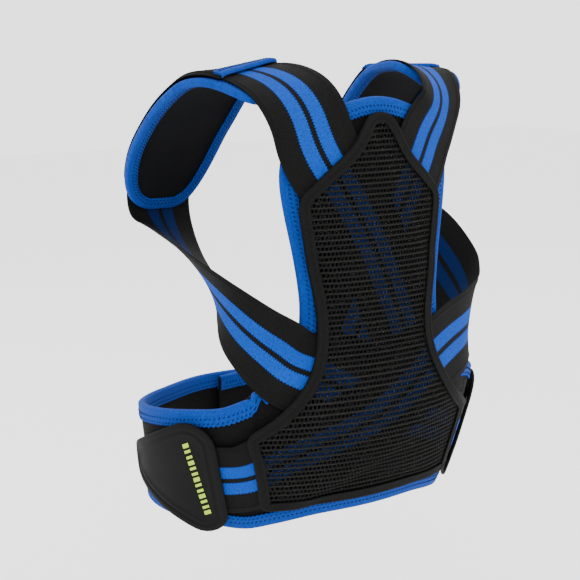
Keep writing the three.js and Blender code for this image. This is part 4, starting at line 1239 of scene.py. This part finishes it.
for name, made_of in tapes.items():
    border = name == "border_binding"
    stations = edge_stations(made_of["places"], made_of["closed"], made_of["lip"])
    tape_runs[name] = refine(stations, TAPE_STEP, soften=2)
    binding(name, tape_runs[name], made_of, binding_black if border else binding_blue,
            pucker=0.02 if border else 0.06)
print({name: len(made_pieces[name].data.polygons) for name in tapes})

# %% [markdown]
# ## Rubber tabs
#
# Each tab is a rounded triangle moulded in one piece: a raised rim, a channel inside it and a
# flat field with a slanted row of plain printed dashes. Its outline follows the belt's curve.

# %% Mould the tabs
TAB_TURN, TAB_THICKNESS, TAB_RIM = 60, 0.0022, 0.0009
TAB_LIFT = STRAP_REST + STRAP_THICKNESS + 3 * GAP


def tab_outline(inset, arc_steps=9, side_steps=26):
    """The rounded outline, shrunk by an inset towards its inside."""
    corner = np.array([(row["along"], row["up"]) for row in TAB_CORNERS]) * BELT_HEIGHT
    loop = []
    for i, row in enumerate(TAB_CORNERS):
        before, after = unit(corner[i - 1] - corner[i]), unit(corner[(i + 1) % 3] - corner[i])
        bisector = unit(before + after)
        half = math.acos(before @ after) / 2
        radius = row["round"] * BELT_HEIGHT
        centre = corner[i] + bisector * radius / math.sin(half)
        start = math.atan2(-bisector[1], -bisector[0])
        turn = -np.sign(before[0] * after[1] - before[1] * after[0])
        for part in np.linspace(-1, 1, arc_steps):
            angle = start + turn * part * (math.pi / 2 - half)
            loop.append(centre + (radius - inset) * np.array([math.cos(angle), math.sin(angle)]))
    loop = np.array(loop)
    dense = []
    for k, p in enumerate(loop):
        q = loop[(k + 1) % len(loop)]
        steps = side_steps if (k + 1) % arc_steps == 0 else 1
        dense += [p + (q - p) * s / steps for s in range(steps)]
    return np.array(dense)


def on_tab(side, flat, lift):
    width, depth, _, _ = section(flat[:, 1])
    reach = np.hypot(width * math.cos(1.33), depth * math.sin(1.33))
    turn = side * (TAB_TURN + np.degrees(flat[:, 0] / reach))
    return on_body(turn, flat[:, 1], TAB_LIFT + lift)[0]


T, R = TAB_THICKNESS, TAB_THICKNESS + TAB_RIM
TAB_RINGS = [
    (0.0006, 0), (0, 0.0002), (-0.0003, 0.0006), (-0.0003, R - 0.0008), (0, R - 0.0003),
    (0.0006, R), (0.0044, R), (0.0050, R - 0.0002), (0.0054, T + 0.0001), (0.0060, T - 0.0001),
    (0.0092, T - 0.0001), (0.0095, T + 0.0002), (0.0101, T + 0.0002), (0.0105, T - 0.0001),
]
for hand, side in SIDES.items():
    loops = [on_tab(side, tab_outline(inset), lift) for inset, lift in TAB_RINGS]
    first, last = (tab_outline(TAB_RINGS[k][0]) for k in (0, -1))
    middle = last.mean(0)
    for shrink in (0.8, 0.6, 0.4, 0.2, 0.05):
        loops.append(on_tab(side, middle + (last - middle) * shrink, TAB_RINGS[-1][1]))
        loops.insert(0, on_tab(side, middle + (first - middle) * shrink, 0))
    points = np.array(loops)
    rings, size = points.shape[:2]
    index = np.arange(rings * size).reshape(rings, size)
    quads = np.stack([index[:-1], np.roll(index[:-1], -1, 1), np.roll(index[1:], -1, 1), index[1:]], -1)
    faces = quads.reshape(-1, 4).tolist() + [index[0][::-1].tolist(), index[-1].tolist()]
    outward(add_piece(f"tab_mould_{hand}", points.reshape(-1, 3), faces, material=rubber))
print("tab rings:", len(TAB_RINGS))

# %% Print a slanted row of plain dashes on each tab
PRINT_FROM, PRINT_TO = np.array([0.008, 0.165]), np.array([0.169, 0.767])
DASH_COUNT, DASH_SLANT, DASH_TALL = 13, 0.25, 0.0058
along = (PRINT_TO - PRINT_FROM) * BELT_HEIGHT
way = unit(along)
aside = np.array([-way[1], way[0]])
for hand, side in SIDES.items():
    vertices, faces = [], []
    for k in range(DASH_COUNT):
        middle = PRINT_FROM * BELT_HEIGHT + along * (k + 0.5) / DASH_COUNT
        length = np.linalg.norm(along) / DASH_COUNT * (0.46 if k % 3 else 0.7)
        box = []
        for a, b in ((-1, -1), (1, -1), (1, 1), (-1, 1)):
            lean = b * DASH_SLANT * DASH_TALL / 2
            box.append(middle + way * (a * length / 2 + lean) + aside * b * DASH_TALL / 2)
        start = len(vertices)
        for lift in (0.0, 0.00025):
            vertices += on_tab(side, np.array(box), TAB_THICKNESS - 0.0001 + lift).tolist()
        faces += [[start + i for i in f] for f in (
            (0, 3, 2, 1), (4, 5, 6, 7), (0, 1, 5, 4), (1, 2, 6, 5), (2, 3, 7, 6), (3, 0, 4, 7))]
    outward(add_piece(f"tab_print_{hand}", np.array(vertices), faces, material=lime_print,
                      smooth=False))
print("dashes:", DASH_COUNT)

# %% [markdown]
# ## Stitches
#
# All sewing thread comes from one node tree. A plain mesh of short two-edge paths goes in, one
# path per stitch, and each becomes a rounded length of thread.

# %% The thread node tree
thread_tree, g_in, g_out = group_tree(
    "sewn thread", "GeometryNodeTree",
    [("Geometry", "NodeSocketGeometry", None), ("Thread Radius", "NodeSocketFloat", 0.0003),
     ("Sides", "NodeSocketInt", 5), ("Unevenness", "NodeSocketFloat", 0.00006),
     ("Seed", "NodeSocketInt", 1), ("Thread", "NodeSocketMaterial", None)],
    [("Geometry", "NodeSocketGeometry")],
)
jitter = node(thread_tree, "FunctionNodeRandomValue", data_type="FLOAT_VECTOR")
jitter.inputs[0].default_value = (-1, -1, -1)
jitter.inputs[1].default_value = (1, 1, 1)
spread = node(thread_tree, "ShaderNodeVectorMath", operation="SCALE")
moved = node(thread_tree, "GeometryNodeSetPosition")
to_curve = node(thread_tree, "GeometryNodeMeshToCurve")
profile = node(thread_tree, "GeometryNodeCurvePrimitiveCircle")
to_mesh = preset(node(thread_tree, "GeometryNodeCurveToMesh"), {"Fill Caps": True})
realized = node(thread_tree, "GeometryNodeRealizeInstances")
painted = node(thread_tree, "GeometryNodeSetMaterial")
for socket, source in (
    (jitter.inputs["Seed"], g_in.outputs["Seed"]),
    (spread.inputs[0], jitter.outputs[0]),
    (spread.inputs["Scale"], g_in.outputs["Unevenness"]),
    (moved.inputs["Geometry"], g_in.outputs["Geometry"]),
    (moved.inputs["Offset"], spread.outputs[0]),
    (to_curve.inputs[0], moved.outputs[0]),
    (profile.inputs["Resolution"], g_in.outputs["Sides"]),
    (profile.inputs["Radius"], g_in.outputs["Thread Radius"]),
    (to_mesh.inputs["Curve"], to_curve.outputs[0]),
    (to_mesh.inputs["Profile Curve"], profile.outputs["Curve"]),
    (realized.inputs[0], to_mesh.outputs[0]),
    (painted.inputs["Geometry"], realized.outputs[0]),
    (painted.inputs["Material"], g_in.outputs["Thread"]),
    (g_out.inputs[0], painted.outputs[0]),
):
    feed(thread_tree, socket, source)
print("thread nodes:", len(thread_tree.nodes))


def sew(name, paths, material, radius, seed):
    """One object of thread from an array of stitches, each a few points."""
    paths = np.asarray(paths)
    count, size = paths.shape[:2]
    mesh = bpy.data.meshes.new(f"{name}_paths")
    edges = [(k * size + i, k * size + i + 1) for k in range(count) for i in range(size - 1)]
    mesh.from_pydata(paths.reshape(-1, 3) + TO_FRAME, edges, [])
    guide = bpy.data.objects.new(f"{name}_paths", mesh)
    COLLECTION.objects.link(guide)
    modifier = guide.modifiers.new("thread", "NODES")
    modifier.node_group = thread_tree
    chosen = {"Thread Radius": radius, "Seed": seed, "Thread": material}
    for item in thread_tree.interface.items_tree:
        if item.in_out == "INPUT" and item.name in chosen:
            modifier[item.identifier] = chosen[item.name]
    graph = bpy.context.evaluated_depsgraph_get()
    solved = bpy.data.meshes.new_from_object(guide.evaluated_get(graph))
    bpy.data.objects.remove(guide)
    solved.name = name
    piece = bpy.data.objects.new(name, solved)
    solved.materials.clear()
    solved.materials.append(material)
    COLLECTION.objects.link(piece)
    made_pieces[name] = piece


# %% Two staggered rows of stitches along each binding
STITCH_LENGTH, STITCH_SLANT, STITCH_INSET = 0.0016, 0.0007, 0.003
STITCH_BOW, STITCH_SINK = 0.00012, 0.00022


def read_stations(stations, key, at):
    run, data = stations["run"], stations[key]
    return np.stack([np.interp(at, run, data[:, a]) for a in range(3)], 1)


def tape_stitches(stations, low, high, lip, pitch, shares, faces):
    """Three points to a stitch, sunk at its ends, in a row at each share of the lip."""
    middle, half = (low + high) / 2, (high - low) / 2
    paths = []
    for face in faces:
        for row, share in enumerate(shares):
            start = STITCH_INSET + row * pitch / 2
            at = np.arange(start, stations["run"][-1] - STITCH_INSET, pitch)
            ends = []
            for end in (-1, 0, 1):
                place = at + end * STITCH_LENGTH / 2
                point, inner, normal, inner_normal = (
                    read_stations(stations, key, place)
                    for key in ("point", "inner", "normal", "inner_normal"))
                part = share + end * STITCH_SLANT / lip
                bow = -STITCH_SINK if end else STITCH_BOW
                ends.append(point * (1 - part) + inner * part
                            + unit(normal * (1 - part) + inner_normal * part)
                            * (middle + face * (half + bow)))
            paths.append(np.stack(ends, 1))
    return np.vstack(paths)


for seed, (name, stations) in enumerate(tape_runs.items()):
    made_of = tapes[name]
    high = made_of["high"] + TAPE_OUTER
    low = made_of["low"] - (TAPE_OUTER if made_of["folded"] else 0.001)
    border = name == "border_binding"
    paths = tape_stitches(
        stations, low, high, made_of["lip"], BORDER_PITCH if border else STITCH_PITCH,
        (0.55,) if border else (0.46, 0.8), (1, -1) if made_of["folded"] else (1,))
    sew(name.replace("binding", "stitches"), paths, black_thread if border else blue_thread,
        0.00028 if border else 0.0005, seed)
print("stitched tapes:", len(tape_runs))

# %% The seams between the back panel and the belt's wings
for hand, side in SIDES.items():
    paths = []
    for z in np.arange(0.006, belt_top(SEAM_TURN) - 0.004, STITCH_PITCH):
        turns = side * (SEAM_TURN + np.array([-1.1, 0.0, 1.1]))
        heights = z + np.array([-0.0007, 0.0, 0.0007])
        lift = SHELL_THICKNESS + np.array([-0.00015, 0.0002, -0.00015])
        paths.append(on_body(turns, heights, lift)[0])
    sew(f"seam_stitches_{hand}", np.array(paths), black_thread, 0.00035, 21 + side)
print("seam stitches:", len(paths), "each side")

# %% [markdown]
# ## Attach each piece
#
# Every piece rides on the one body, and the solid that a piece stands for is hidden.

# %% Ride, and hide the replaced solids
NODE_OF = {"back_panel": "back_shell", "cover_net": "mesh_cover", "border_binding": "cover_border",
           "neck_binding": "neck_tape", "hem_binding": "hem_tape"}
NODE_OF_A_SIDE = {
    "belt_panel": "belt", "shoulder_strap_web": "shoulder_strap", "side_strap_web": "side_strap",
    "pad_foam": "shoulder_pad", "sleeve_panel": "sleeve", "upper_binding": "upper_tape",
    "pad_binding": "pad_tape", "sleeve_binding": "sleeve_tape", "tab_mould": "tab",
}
NODE_OF |= {f"{piece}_{hand}": f"{solid}_{hand}"
            for hand in SIDES for piece, solid in NODE_OF_A_SIDE.items()}


for name, piece in made_pieces.items():
    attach(piece, "root")
    if name in NODE_OF:
        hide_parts(NODE_OF[name])
total = sum(len(p.vertices) - 2 for piece in made_pieces.values() for p in piece.data.polygons)
print(len(made_pieces), "pieces,", total, "triangles")
